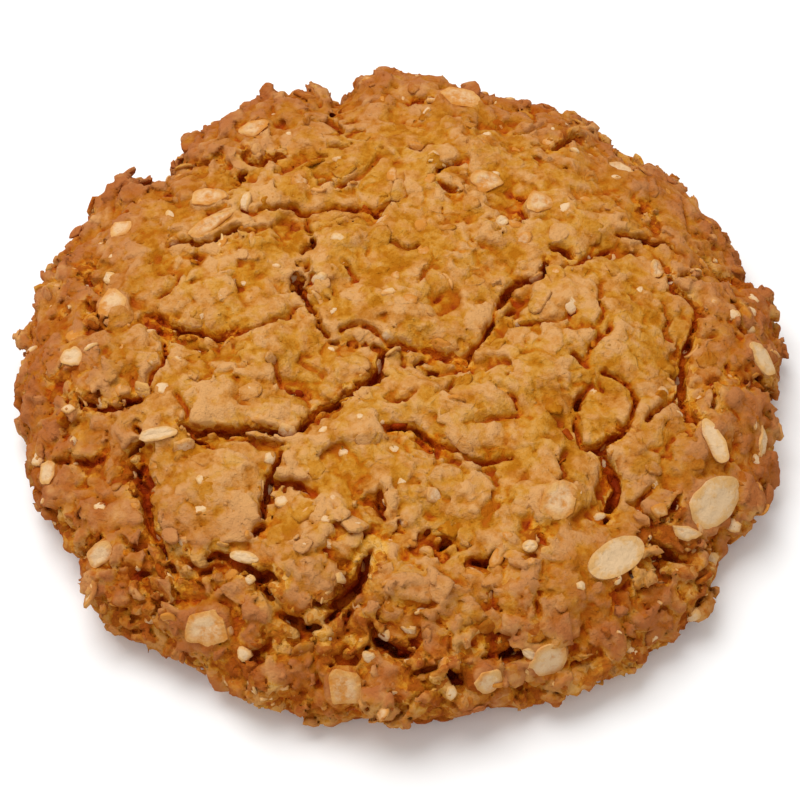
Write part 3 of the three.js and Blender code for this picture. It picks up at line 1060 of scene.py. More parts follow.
CRACKS = [
    Crack(((183, 424), (200, 430), (218, 428), (240, 430), (256, 425), (272, 429), (292, 433)), 1.2, 2.3),
    Crack(((292, 433), (308, 420), (320, 409), (336, 400), (350, 386), (360, 383)), 1.0, 1.8),
    Crack(((358, 385), (372, 376), (380, 364), (384, 354)), 1.0, 1.4),
    Crack(((307, 219), (310, 234), (313, 246), (303, 257), (309, 268), (299, 286)), 0.7, 1.4),
    Crack(((299, 292), (304, 303), (315, 310), (320, 320), (327, 333)), 0.7, 1.4),
    Crack(((296, 306), (288, 317), (276, 318), (264, 322), (246, 326), (230, 332)), 0.6, 1.0),
    Crack(((153, 316), (168, 324), (186, 328), (200, 330), (215, 336), (230, 332)), 1.0, 1.7),
    Crack(((340, 326), (356, 325), (366, 326), (378, 334), (388, 344), (398, 342)), 0.7, 1.3),
    Crack(((398, 342), (416, 349), (438, 350), (458, 354), (478, 352)), 0.8, 1.0),
    Crack(((416, 362), (423, 358)), 0.8, 1.5),
    Crack(((274, 360), (277, 372), (283, 386), (296, 394), (310, 398)), 0.6, 1.0),
    Crack(((384, 424), (400, 426), (414, 426), (424, 436), (440, 440)), 0.9, 1.8),
    Crack(((440, 441), (454, 445), (468, 456), (484, 460), (492, 462), (512, 457)), 0.6, 1.2),
    Crack(((278, 448), (274, 464), (268, 478), (267, 492), (265, 506), (262, 520), (252, 533)), 0.9, 1.8),
    Crack(((268, 479), (290, 477), (304, 484), (316, 490)), 0.6, 1.1),
    Crack(((190, 430), (198, 440), (214, 446)), 0.7, 1.2),
    Crack(((380, 488), (376, 500), (384, 510)), 0.8, 1.6),
    Crack(((384, 394), (396, 399), (408, 396), (416, 386)), 0.5, 0.8),
    Crack(((548, 260), (538, 272), (526, 281), (512, 288), (502, 298), (493, 312)), 1.0, 1.9),
    Crack(((493, 312), (488, 328), (480, 340), (472, 352), (466, 362)), 1.2, 1.7),
    Crack(((505, 316), (520, 320), (538, 321), (552, 318), (566, 315), (574, 308)), 0.6, 1.3),
    Crack(((574, 350), (583, 356), (588, 366)), 0.8, 1.6),
    Crack(((588, 360), (590, 346), (598, 336), (604, 332), (614, 326)), 0.7, 1.4),
    Crack(((601, 372), (612, 378), (622, 381), (632, 386), (637, 394), (634, 408), (628, 428)), 0.8, 1.8),
    Crack(((590, 388), (582, 396), (577, 408), (576, 420), (577, 432), (582, 442), (592, 445)), 0.6, 1.3),
    Crack(((588, 444), (604, 440), (616, 434), (630, 427)), 1.0, 2.0),
    Crack(((565, 452), (562, 462), (566, 472), (562, 478), (556, 484), (558, 494)), 0.6, 1.3),
    Crack(((604, 445), (606, 456), (612, 462), (618, 478), (616, 496), (610, 506), (607, 518)), 1.3, 2.3),
    Crack(((654, 486), (646, 494), (638, 499)), 0.7, 1.5),
    Crack(((430, 302), (438, 296), (444, 290)), 0.5, 0.9),
    Crack(((408, 284), (424, 272), (430, 262)), 0.5, 0.8),
    Crack(((456, 354), (460, 366), (455, 376), (445, 386), (436, 392)), 0.5, 0.8),
    Crack(((486, 372), (498, 380), (510, 388), (518, 398), (522, 412)), 0.7, 0.9),
    Crack(((470, 420), (488, 419), (504, 416), (522, 414)), 0.5, 0.8),
    Crack(((600, 286), (602, 300), (608, 308), (600, 318)), 0.6, 1.0),
    Crack(((672, 401), (660, 410), (646, 419)), 0.7, 1.5),
    Crack(((240, 205), (256, 210), (268, 204), (282, 207), (296, 209)), 0.7, 1.0),
    Crack(((290, 207), (304, 213), (318, 209), (334, 207), (350, 209), (366, 206), (376, 210)), 0.8, 1.8),
    Crack(((376, 208), (390, 200), (406, 194)), 0.5, 1.0),
    Crack(((170, 247), (180, 240), (196, 238), (208, 237)), 0.9, 1.8),
    Crack(((208, 236), (222, 229), (234, 226), (250, 227), (264, 222)), 0.6, 1.2),
    Crack(((242, 148), (250, 160), (258, 162), (270, 156), (286, 151)), 1.2, 2.2),
    Crack(((322, 142), (334, 144), (350, 143)), 0.7, 1.2),
    Crack(((320, 182), (336, 181), (352, 178), (366, 170), (376, 160), (382, 150)), 0.6, 1.1),
    Crack(((438, 178), (446, 184), (454, 189)), 0.9, 1.8),
    Crack(((396, 181), (405, 189)), 0.7, 1.4),
    Crack(((408, 145), (420, 146), (434, 142)), 0.6, 1.2),
    Crack(((432, 172), (440, 164), (454, 162), (468, 159)), 0.7, 1.4),
    Crack(((342, 260), (350, 270), (357, 282)), 0.5, 1.0),
    Crack(((388, 239), (398, 246), (408, 250), (418, 243)), 0.5, 1.0),
    Crack(((230, 198), (238, 186), (245, 176)), 0.8, 1.3),
    Crack(((184, 166), (198, 160), (214, 157)), 1.0, 1.6),
    Crack(((416, 99), (432, 95)), 0.9, 1.5),
    Crack(((516, 129), (534, 127), (544, 123)), 0.8, 1.5),
    Crack(((533, 144), (546, 149)), 0.9, 1.5),
    Crack(((554, 145), (566, 140), (576, 132)), 1.0, 1.8),
    Crack(((520, 197), (527, 207), (518, 222)), 0.9, 1.4),
    Crack(((554, 245), (564, 250), (571, 257)), 1.0, 1.9),
    Crack(((560, 264), (574, 263), (582, 259), (596, 256), (608, 251)), 0.7, 1.4),
    Crack(((620, 232), (634, 234), (644, 238), (656, 240), (666, 238), (676, 246), (686, 254)), 0.9, 1.9),
    Crack(((646, 202), (652, 214), (660, 222)), 1.0, 1.5),
    Crack(((684, 198), (688, 214), (690, 230), (692, 244)), 0.7, 1.1),
    Crack(((699, 252), (710, 262), (718, 272), (730, 277), (746, 280)), 0.9, 1.7),
    Crack(((682, 276), (690, 270), (698, 266)), 0.8, 1.4),
    Crack(((668, 274), (674, 286), (684, 296), (694, 306), (704, 315)), 0.9, 1.5),
    Crack(
        ((697, 316), (694, 330), (688, 344), (684, 358), (684, 380), (680, 402), (688, 408), (696, 416)),
        1.1,
        1.9,
    ),
    Crack(((664, 300), (668, 318), (666, 330), (674, 341)), 0.6, 1.0),
    Crack(((738, 304), (746, 318), (757, 334)), 0.7, 1.2),
    Crack(((713, 378), (718, 390), (713, 402)), 0.8, 1.4),
    Crack(((664, 516), (674, 508), (682, 498)), 1.0, 1.9),
    Crack(((658, 541), (668, 550), (680, 558), (693, 563)), 1.1, 2.0),
    Crack(((628, 500), (640, 506), (652, 516), (657, 526)), 0.7, 1.2),
    Crack(((540, 530), (547, 542)), 0.9, 1.6),
    Crack(((83, 265), (90, 279)), 1.0, 1.8),
    Crack(((86, 305), (97, 316)), 1.0, 1.8),
    Crack(((60, 320), (70, 312)), 1.0, 1.7),
    Crack(((164, 334), (166, 350), (158, 362), (150, 372), (147, 385)), 0.8, 1.5),
    Crack(((76, 399), (90, 403), (102, 406), (116, 408), (130, 404), (139, 395)), 1.0, 1.7),
    Crack(((132, 424), (138, 434), (136, 442), (128, 452), (120, 457)), 0.8, 1.7),
    Crack(((54, 461), (66, 458), (76, 458), (88, 462), (99, 457)), 0.8, 1.3),
    Crack(((130, 465), (136, 478), (138, 492), (144, 510), (148, 524), (156, 538), (163, 556)), 1.1, 1.7),
    Crack(((176, 392), (184, 404), (189, 418)), 0.7, 1.1),
    Crack(((158, 298), (168, 288), (179, 275)), 0.8, 1.5),
    Crack(((206, 558), (216, 552), (226, 556), (240, 564), (256, 574), (266, 572), (278, 581)), 1.2, 2.3),
    Crack(((262, 574), (262, 586), (269, 598)), 1.0, 1.6),
    Crack(((178, 554), (186, 564), (196, 570), (206, 572), (213, 565)), 1.0, 1.6),
    Crack(((133, 578), (146, 571)), 0.9, 1.7),
    Crack(((76, 558), (86, 551), (95, 536)), 0.9, 1.7),
    Crack(((98, 569), (110, 565)), 0.9, 1.7),
    Crack(((118, 538), (132, 548)), 0.8, 1.3),
    Crack(((244, 662), (256, 654), (266, 648), (271, 640)), 1.2, 2.0),
    Crack(((281, 616), (296, 622), (308, 628), (322, 628)), 1.2, 2.3),
    Crack(((318, 605), (332, 604), (346, 598), (356, 590), (364, 578), (366, 562), (373, 550)), 1.5, 1.9),
    Crack(((328, 622), (338, 610)), 0.9, 1.7),
    Crack(((332, 656), (344, 664), (356, 660), (367, 646)), 1.2, 2.1),
    Crack(((372, 624), (376, 640), (386, 648), (398, 654), (409, 655)), 1.3, 2.2),
    Crack(((438, 552), (442, 545), (451, 542)), 0.9, 1.9),
    Crack(((474, 563), (490, 562), (494, 551)), 0.8, 1.7),
    Crack(((413, 674), (426, 670), (438, 665)), 1.0, 1.7),
    Crack(((448, 670), (458, 680), (466, 693)), 1.3, 2.1),
    Crack(((505, 662), (516, 654), (525, 660)), 1.5, 2.3),
    Crack(((485, 697), (498, 686)), 1.3, 2.0),
    Crack(((519, 680), (523, 695)), 1.1, 1.7),
    Crack(((534, 639), (544, 642), (552, 647)), 0.8, 1.4),
    Crack(((537, 616), (536, 604), (541, 594)), 0.7, 1.2),
    Crack(((574, 670), (586, 664), (598, 661)), 0.8, 1.4),
]


@dataclass
class Dough:
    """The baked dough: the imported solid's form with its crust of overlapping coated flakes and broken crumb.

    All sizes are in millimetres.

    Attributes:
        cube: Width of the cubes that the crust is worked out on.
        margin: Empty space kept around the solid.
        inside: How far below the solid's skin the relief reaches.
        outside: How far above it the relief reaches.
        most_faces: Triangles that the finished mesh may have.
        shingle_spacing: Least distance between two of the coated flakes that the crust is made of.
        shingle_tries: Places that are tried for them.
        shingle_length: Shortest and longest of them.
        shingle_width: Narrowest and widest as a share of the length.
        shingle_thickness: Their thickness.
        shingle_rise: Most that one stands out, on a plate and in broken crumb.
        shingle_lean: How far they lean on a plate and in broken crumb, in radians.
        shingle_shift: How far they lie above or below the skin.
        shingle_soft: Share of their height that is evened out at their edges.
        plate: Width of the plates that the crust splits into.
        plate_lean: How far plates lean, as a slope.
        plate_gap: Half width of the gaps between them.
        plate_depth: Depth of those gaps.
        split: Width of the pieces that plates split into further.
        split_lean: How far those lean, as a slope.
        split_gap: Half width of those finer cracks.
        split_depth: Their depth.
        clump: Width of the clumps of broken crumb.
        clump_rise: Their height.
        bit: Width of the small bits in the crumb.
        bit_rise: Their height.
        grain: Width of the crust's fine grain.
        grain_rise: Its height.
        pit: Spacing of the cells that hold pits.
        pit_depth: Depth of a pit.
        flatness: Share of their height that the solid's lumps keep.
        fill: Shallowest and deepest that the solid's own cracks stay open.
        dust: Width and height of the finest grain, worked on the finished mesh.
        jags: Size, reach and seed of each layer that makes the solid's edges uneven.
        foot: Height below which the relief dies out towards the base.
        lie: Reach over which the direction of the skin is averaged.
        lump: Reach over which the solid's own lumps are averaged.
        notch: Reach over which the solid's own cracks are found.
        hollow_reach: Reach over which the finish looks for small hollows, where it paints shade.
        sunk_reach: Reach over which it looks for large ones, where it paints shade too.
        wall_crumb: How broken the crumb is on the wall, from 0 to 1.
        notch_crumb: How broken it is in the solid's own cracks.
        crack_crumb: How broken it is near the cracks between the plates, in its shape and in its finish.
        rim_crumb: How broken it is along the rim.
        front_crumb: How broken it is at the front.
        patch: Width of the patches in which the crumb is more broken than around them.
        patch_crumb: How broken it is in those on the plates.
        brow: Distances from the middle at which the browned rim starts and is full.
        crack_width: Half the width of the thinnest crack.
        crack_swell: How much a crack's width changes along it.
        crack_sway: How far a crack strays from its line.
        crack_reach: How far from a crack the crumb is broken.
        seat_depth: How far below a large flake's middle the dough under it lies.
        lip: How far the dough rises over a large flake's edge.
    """

    cube: float = 0.36
    margin: float = 2.5
    inside: float = 2.4
    outside: float = 1.6
    most_faces: int = 197_000
    shingle_spacing: float = 3.0
    shingle_tries: int = 9000
    shingle_length: tuple[float, float] = (4.0, 8.0)
    shingle_width: tuple[float, float] = (0.6, 0.9)
    shingle_thickness: float = 0.7
    shingle_rise: tuple[float, float] = (0.3, 0.5)
    shingle_lean: tuple[float, float] = (0.12, 0.4)
    shingle_shift: float = 0.12
    shingle_soft: float = 0.15
    plate: float = 9.0
    plate_lean: float = 0.03
    plate_gap: float = 0.6
    plate_depth: float = 0.2
    split: float = 4.5
    split_lean: float = 0.035
    split_gap: float = 0.45
    split_depth: float = 0.3
    clump: float = 3.1
    clump_rise: float = 1.0
    bit: float = 1.6
    bit_rise: float = 0.36
    grain: float = 0.9
    grain_rise: float = 0.12
    pit: float = 2.4
    pit_depth: float = 0.8
    flatness: float = 0.3
    fill: tuple[float, float] = (0.3, 0.7)
    dust: tuple[float, float] = (0.75, 0.11)
    jags: tuple[tuple[float, float, Seed], ...] = ((3.2, 0.55, Seed.BROAD_EDGE), (1.4, 0.3, Seed.FINE_EDGE))
    foot: float = 3.5
    lie: float = 4.0
    lump: float = 3.0
    notch: float = 2.4
    hollow_reach: float = 1.0
    sunk_reach: float = 3.4
    wall_crumb: float = 0.45
    notch_crumb: float = 0.2
    crack_crumb: tuple[float, float] = (0.25, 0.4)
    rim_crumb: float = 0.27
    front_crumb: float = 0.33
    patch: float = 9.0
    patch_crumb: float = 0.2
    brow: tuple[float, float] = (28.0, 49.0)
    crack_width: float = 0.52
    crack_swell: float = 0.5
    crack_sway: float = 0.4
    crack_reach: float = 2.6
    seat_depth: float = 0.12
    lip: float = 0.6

    body: Volume = field(init=False)
    crumbly: Volume = field(init=False)
    tint: Volume = field(init=False)
    hollow: Volume = field(init=False)
    sunk: Volume = field(init=False)
    piece: bpy.types.Object = field(init=False)

    def measure(self, node: bpy.types.Object) -> None:
        """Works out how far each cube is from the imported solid's skin, below zero inside.

        Args:
            node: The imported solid.
        """
        mesh = node.data
        mesh.calc_loop_triangles()
        points = (mesh_points(mesh) / MM).astype(np.float32)
        faces = np.empty(len(mesh.loop_triangles) * 3, np.int32)
        mesh.loop_triangles.foreach_get("vertices", faces)
        grid = openvdb.FloatGrid.createLevelSetFromPolygons(
            points,
            triangles=faces.reshape(-1, 3).astype(np.uint32),
            transform=openvdb.createLinearTransform(voxelSize=self.cube),
            exBandWidth=(self.outside + 3.0) / self.cube,
            inBandWidth=(self.inside + 3.0) / self.cube,
        )
        low = np.floor((points.min(0) - self.margin) / self.cube).astype(int)
        high = np.ceil((points.max(0) + self.margin) / self.cube).astype(int)
        values = np.zeros(tuple(high - low + 1), np.float32)
        corner = tuple(int(part) for part in low)
        grid.copyToArray(values, ijk=corner)
        self.body = Volume(values, corner, self.cube)

    def crust(self) -> Volume:
        """The measured body with its lumps flattened, which the large flakes lie on."""
        level = self.body.blurred(self.lump).values
        return self.body.like(level + self.flatness * (self.body.values - level))

    def jagged(self, place: Place) -> np.ndarray:
        """Distances to the solid's skin with its cracks and edges made uneven.

        Args:
            place: X, Y and Z in millimetres.

        Returns:
            One distance a point, in millimetres.
        """
        points = np.stack(place, axis=1)
        fade = ease(place[2], 0.5, self.foot)
        for size, reach, seed in self.jags:
            for axis in range(3):
                moved = tuple(np.roll(points, axis, axis=1).T + 50.0 * axis)
                points[:, axis] += reach * fade * Lattice(size, seed).smooth(moved)
        return self.body.at(points)

    def shingle(self, outward: Volume) -> np.ndarray:
        """Covers the crust with coated oat flakes: thin overlapping discs that lie along its skin.

        Args:
            outward: The body filled with ones and blurred, for the directions of its skin.

        Returns:
            How far the flakes stand out, one number a cube.
        """
        draw = np.random.default_rng(Seed.SHINGLES)
        body = self.body
        skin = np.argwhere(np.abs(body.values) < self.cube / 2)
        skin = skin[(skin[:, 2] + body.corner[2]) * self.cube > self.foot]
        middles = np.zeros((0, 3))
        for index in draw.permutation(len(skin))[: self.shingle_tries]:
            middle = (skin[index] + body.corner) * self.cube
            if np.all(np.sum((middles - middle) ** 2, axis=1) > self.shingle_spacing**2):
                middles = np.vstack([middles, middle])
        rise = np.zeros_like(body.values)
        self.tint = body.like(np.full_like(body.values, 0.5))
        leans = np.interp(self.crumbly.at(middles), (0.0, 1.0), self.shingle_lean)
        for middle, up, lean in zip(middles, outward.slope(middles), leans):
            up = up + draw.normal(0.0, lean, 3)
            up /= np.linalg.norm(up)
            along = np.cross(up, draw.normal(size=3))
            along /= np.linalg.norm(along)
            half_length = draw.uniform(*self.shingle_length) / 2
            half_width = half_length * draw.uniform(*self.shingle_width)
            middle = middle + up * draw.normal(0.0, self.shingle_shift)
            window, points = body.window(middle, half_length)
            local = points - middle
            rim = np.hypot(local @ along / half_length, local @ np.cross(up, along) / half_width)
            rim = (rim - 1.0) * half_width
            face = np.abs(local @ up) - self.shingle_thickness / 2
            disc = np.hypot(np.maximum(rim, 0), np.maximum(face, 0)) + np.minimum(np.maximum(rim, face), 0)
            stands = body.values[window] - disc.reshape(body.values[window].shape)
            above = stands > rise[window]
            rise[window][above] = stands[above]
            self.tint.values[window][above] = draw.random()
        most = np.interp(self.crumbly.values, (0.0, 1.0), self.shingle_rise).astype(np.float32)
        rise = most * (1.0 - np.exp(-rise / most))
        even = body.like(rise).blurred(self.cube).values
        return (1.0 - self.shingle_soft) * rise + self.shingle_soft * even

    def crack(self, view: Viewpoint, outward: Volume) -> tuple[np.ndarray, np.ndarray]:
        """Follows the cracks over the crust.

        Args:
            view: Where the photograph was taken from.
            outward: The body filled with ones and blurred, for the directions of its skin.

        Returns:
            How deep the cracks are and how near one is, from 0 to 1, one number a cube each.
        """
        body = self.body
        depths = np.zeros_like(body.values)
        nearness = np.zeros_like(body.values)
        for crack in CRACKS:
            places, opened = crack.run()
            points = body.meet(np.array(view.stand()), np.array([view.ray(place) for place in places]))
            opened = opened * (1.0 + self.crack_swell * Lattice(2.2, Seed.SWELL).smooth(tuple(points.T)))
            for axis, seed in enumerate((Seed.SWAY_EAST, Seed.SWAY_NORTH)):
                points[:, axis] += self.crack_sway * Lattice(1.7, seed).smooth(tuple(points.T))
            for point, up, share in zip(points, outward.slope(points), opened):
                window, cubes = body.window(point, self.crack_reach)
                local = cubes - point
                aside = np.sqrt(np.maximum(np.sum(local**2, axis=1) - (local @ up) ** 2, 0.0))
                aside = aside.reshape(depths[window].shape)
                half = max(0.65 * crack.width * share, self.crack_width)
                cut = crack.depth * share * ease(aside, half, 0.2 * half)
                depths[window] = np.maximum(depths[window], cut)
                broken = min(crack.width, 1.0) ** 2 * ease(aside, self.crack_reach, 0.6)
                nearness[window] = np.maximum(nearness[window], broken)
        return depths, nearness

    def relief(self, place: Place, crumbly: np.ndarray, upward: np.ndarray) -> tuple[np.ndarray, np.ndarray]:
        """Height of the crust's relief and the tint of its clumps.

        Args:
            place: X, Y and Z in millimetres.
            crumbly: Where the crumb is broken, from 0 to 1.
            upward: How far the crust faces up, from 0 to 1.

        Returns:
            One height a point, in millimetres, below zero where the crust sinks, and one tint from 0 to 1.
        """
        x, y, z = place
        swapped = (y + 40.0, z, x)
        wander = Lattice(3.6, Seed.WANDER)
        jag = Lattice(1.5, Seed.JAG)
        east = x + 1.3 * wander.smooth(place) + 0.45 * jag.smooth(place)
        north = y + 1.3 * wander.smooth(swapped) + 0.45 * jag.smooth(swapped)
        plates = Lattice(self.plate, Seed.PLATES).cells((east, north, z), flat=True)
        splits = Lattice(self.split, Seed.SPLITS).cells((east, north, z), flat=True)
        clumps = Lattice(self.clump, Seed.CLUMPS).cells((east, north, z + 0.5 * jag.smooth((z, x, y))))
        bits = Lattice(self.bit, Seed.BITS).cells(place)
        pits = Lattice(self.pit, Seed.PITS).cells(place)
        open_plates = ease(Lattice(10.0, Seed.OPEN_PLATES).smooth(place), -0.35, 0.3)
        open_splits = ease(Lattice(6.0, Seed.OPEN_SPLITS).smooth(place), -0.1, 0.45)
        plate_gap = plates.gap * self.plate
        split_gap = splits.gap * self.split
        plate_tilt = self.plate_lean * self.plate * plates.tilt
        split_tilt = self.split_lean * self.split * splits.tilt
        height = (plate_tilt + split_tilt) * upward
        height -= self.plate_depth * open_plates * np.exp(-((plate_gap / self.plate_gap) ** 2))
        height -= self.split_depth * open_splits * np.exp(-((split_gap / self.split_gap) ** 2))
        for cells, size, rise in ((clumps, self.clump, self.clump_rise), (bits, self.bit, self.bit_rise)):
            packed = 0.8 * (cells.mark - 0.5) + 0.7 * cells.tilt + 0.35 * (0.5 - cells.near) + 0.1
            packed -= 0.7 * np.exp(-((cells.gap * size / 0.45) ** 2))
            height += rise * packed * (0.05 + 0.95 * crumbly)
        height += self.grain_rise * Lattice(self.grain, Seed.GRAIN).smooth(place)
        height -= self.pit_depth * (pits.mark < 0.02 + 0.2 * crumbly) * ease(pits.near, 0.26, 0.1)
        return height * ease(z, 0.0, self.foot), clumps.mark

    def seat(self, seats: list[Seat]) -> None:
        """Smooths the dough where large flakes lie in it.

        Args:
            seats: Where the flakes lie.
        """
        for seat in seats:
            if seat.spot.coated():
                continue
            window, points = self.body.window(seat.middle, seat.spot.length * 0.7)
            share, above = seat.share(points)
            weight = ease(share, 1.12, 0.85) * ease(np.abs(above), 2.2, 1.4)
            lip = np.maximum(Lattice(2.2, Seed.LIP).smooth(tuple(points.T)) + 0.15, 0.0)
            lip *= ease(share, 0.6, 1.0)
            lip *= self.lip * seat.spot.buried()
            flat = above + self.seat_depth - lip
            block = self.body.values[window]
            block += (weight * (flat - block.ravel())).reshape(block.shape).astype(np.float32)

    def shape(self, view: Viewpoint, seats: list[Seat]) -> None:
        """Bakes the measured body: its crust, its crumb and what its finish needs to know.

        Args:
            view: Where the photograph was taken from.
            seats: Where the large flakes lie.
        """
        body = self.body
        filled = body.like((body.values < 0).astype(np.float32))
        broad = filled.blurred(self.lie)
        band = np.nonzero((body.values > -self.inside) & (body.values < self.outside))
        place = body.place(band)
        tilt = np.stack([-np.gradient(broad.values, axis=axis)[band] for axis in range(3)])
        upward = ease(tilt[2] / np.maximum(np.linalg.norm(tilt, axis=0), 1e-9), 0.35, 0.85)
        depths, nearness = self.crack(view, broad)
        notched = ease(filled.blurred(self.notch).values[band], 0.56, 0.72)
        cracked = self.notch_crumb * notched + self.crack_crumb[0] * nearness[band]
        patchy = Lattice(self.patch, Seed.PATCHES).smooth(place)
        outer = ease(np.hypot(place[0], place[1] + 3.0), 33.0, 45.0)
        rim = self.rim_crumb * outer + self.front_crumb * ease(place[1], -18.0, -36.0)
        crumbly = self.wall_crumb * (1.0 - upward) + cracked + rim * (1.0 + 1.2 * patchy)
        crumbly = np.clip(crumbly + self.patch_crumb * patchy, 0.0, 1.0)
        opened = np.interp(Lattice(5.0, Seed.FILL).smooth(place), (-0.6, 0.6), self.fill)
        level = body.blurred(self.lump).values[band]
        height = level - self.jagged(place)
        sunken = -opened * (1.0 - np.exp(np.minimum(height, 0.0) / opened))
        body.values[band] = level - np.where(height > 0.0, self.flatness * height, sunken)
        spread = np.full(body.values.shape, 0.5, np.float32)
        spread[band] = crumbly
        self.crumbly = body.like(spread)
        relief, marks = self.relief(place, crumbly, upward)
        rise = self.shingle(broad)
        self.tint.values[band] += ease(crumbly, 0.3, 0.7) * (marks - self.tint.values[band])
        body.values[band] -= relief + rise[band] - depths[band]
        self.crumbly.values[band] = np.minimum(crumbly + self.crack_crumb[1] * nearness[band], 1.0)
        self.seat(seats)
        floor = (np.arange(body.values.shape[2]) + body.corner[2]) * self.cube
        body.values = np.maximum(body.values, -floor[None, None, :]).astype(np.float32)
        filled = body.like((body.values < 0).astype(np.float32))
        self.hollow = filled.blurred(self.hollow_reach)
        self.sunk = filled.blurred(self.sunk_reach)

    def skin(self) -> tuple[np.ndarray, np.ndarray]:
        """Makes the baked body's outer skin, without loose scraps and closed bubbles.

        Returns:
            Points in millimetres and triangles.
        """
        grid = openvdb.FloatGrid(self.outside)
        grid.copyFromArray(self.body.values, ijk=self.body.corner)
        grid.transform = openvdb.createLinearTransform(voxelSize=self.cube)
        points, triangles, quads = grid.convertToPolygons(isovalue=0.0, adaptivity=0.0)
        halves = [triangles.reshape(-1, 3), quads[:, [0, 1, 2]], quads[:, [0, 2, 3]]]
        faces = np.concatenate(halves).astype(np.int64)
        label = np.arange(len(points))
        while True:
            lowest = label[faces].min(axis=1)
            fresh = label.copy()
            for corner in range(3):
                np.minimum.at(fresh, faces[:, corner], lowest)
            fresh = fresh[fresh]
            if np.array_equal(fresh, label):
                break
            label = fresh
        whole = np.bincount(label).argmax()
        faces = faces[label[faces[:, 0]] == whole]
        used = np.unique(faces)
        renumber = np.zeros(len(points), np.int64)
        renumber[used] = np.arange(len(used))
        faces, points = renumber[faces], points[used].astype(float)
        a, b, c = (points[faces[:, corner]] for corner in range(3))
        if np.einsum("ij,ij->", a, np.cross(b, c)) < 0:
            faces = faces[:, ::-1]
        return points, faces

    def build(self, view: Viewpoint, seats: list[Seat]) -> None:
        """Makes the dough's mesh and stores on it what its finish reads.

        Args:
            view: Where the photograph was taken from.
            seats: Where the large flakes lie.
        """
        self.shape(view, seats)
        points, faces = self.skin()
        rough = bpy.data.meshes.new("baked_dough_rough")
        rough.from_pydata((points * MM).tolist(), [], faces.tolist())
        self.piece = new_piece("baked_dough", rough)
        thin = self.piece.modifiers.new("thin", "DECIMATE")
        thin.ratio = min(1.0, self.most_faces / len(faces))
        bake_modifiers(self.piece)
        mesh = self.piece.data
        mesh.shade_smooth()
        spots = mesh_points(mesh) / MM
        outward = np.empty(spots.size, np.float32)
        mesh.vertex_normals.foreach_get("vector", outward)
        outward = outward.reshape(-1, 3)
        dust = Lattice(self.dust[0], Seed.DUST).smooth(tuple(spots.T)) * ease(spots[:, 2], 0.2, self.foot)
        spots = spots + outward * (self.dust[1] * dust)[:, None]
        mesh.vertices.foreach_set("co", (spots * MM).astype(np.float32).ravel())
        sunk = self.sunk.at(spots)
        brow = ease(np.hypot(spots[:, 0], spots[:, 1]), *self.brow)
        toast = np.clip(brow * (0.5 + 0.5 * ease(sunk, 0.6, 0.4)) + ease(spots[:, 2], 4.0, 0.5), 0.0, 1.0)
        # hollow, sunk and crease tell the crust's finish where to paint shade.
        measures = {
            "hollow": self.hollow.at(spots),
            "sunk": sunk,
            "crumb": self.crumbly.at(spots),
            "toast": toast,
            "tint": self.tint.at(spots),
            "crease": creases(mesh, spots, outward),
            "oat": self.marks([seat for seat in seats if seat.spot.coated()], spots),
            "covered": self.marks([seat for seat in seats if not seat.spot.coated()], spots),
        }
        for name, values in measures.items():
            store(mesh, name, values)

    @staticmethod
    def marks(seats: list[Seat], spots: np.ndarray) -> np.ndarray:
        """Marks where large flakes lie on the dough or show through it.

        Args:
            seats: Where those flakes lie.
            spots: The dough's points in millimetres, one a row.

        Returns:
            One number a point, up to a flake's paleness.
        """
        marks = np.zeros(len(spots))
        for seat in seats:
            share, above = seat.share(spots)
            pale = seat.spot.pale * ease(share, 1.05, 0.8)
            marks = np.maximum(marks, pale * ease(np.abs(above), 2.0, 1.0))
        return marks

    def dress(self, material: bpy.types.Material) -> None:
        """Gives the dough its finish and its place in the frame.

        Args:
            material: The finish.
        """
        self.piece.data.materials.append(material)
        settle(self.piece)
        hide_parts(NODE)


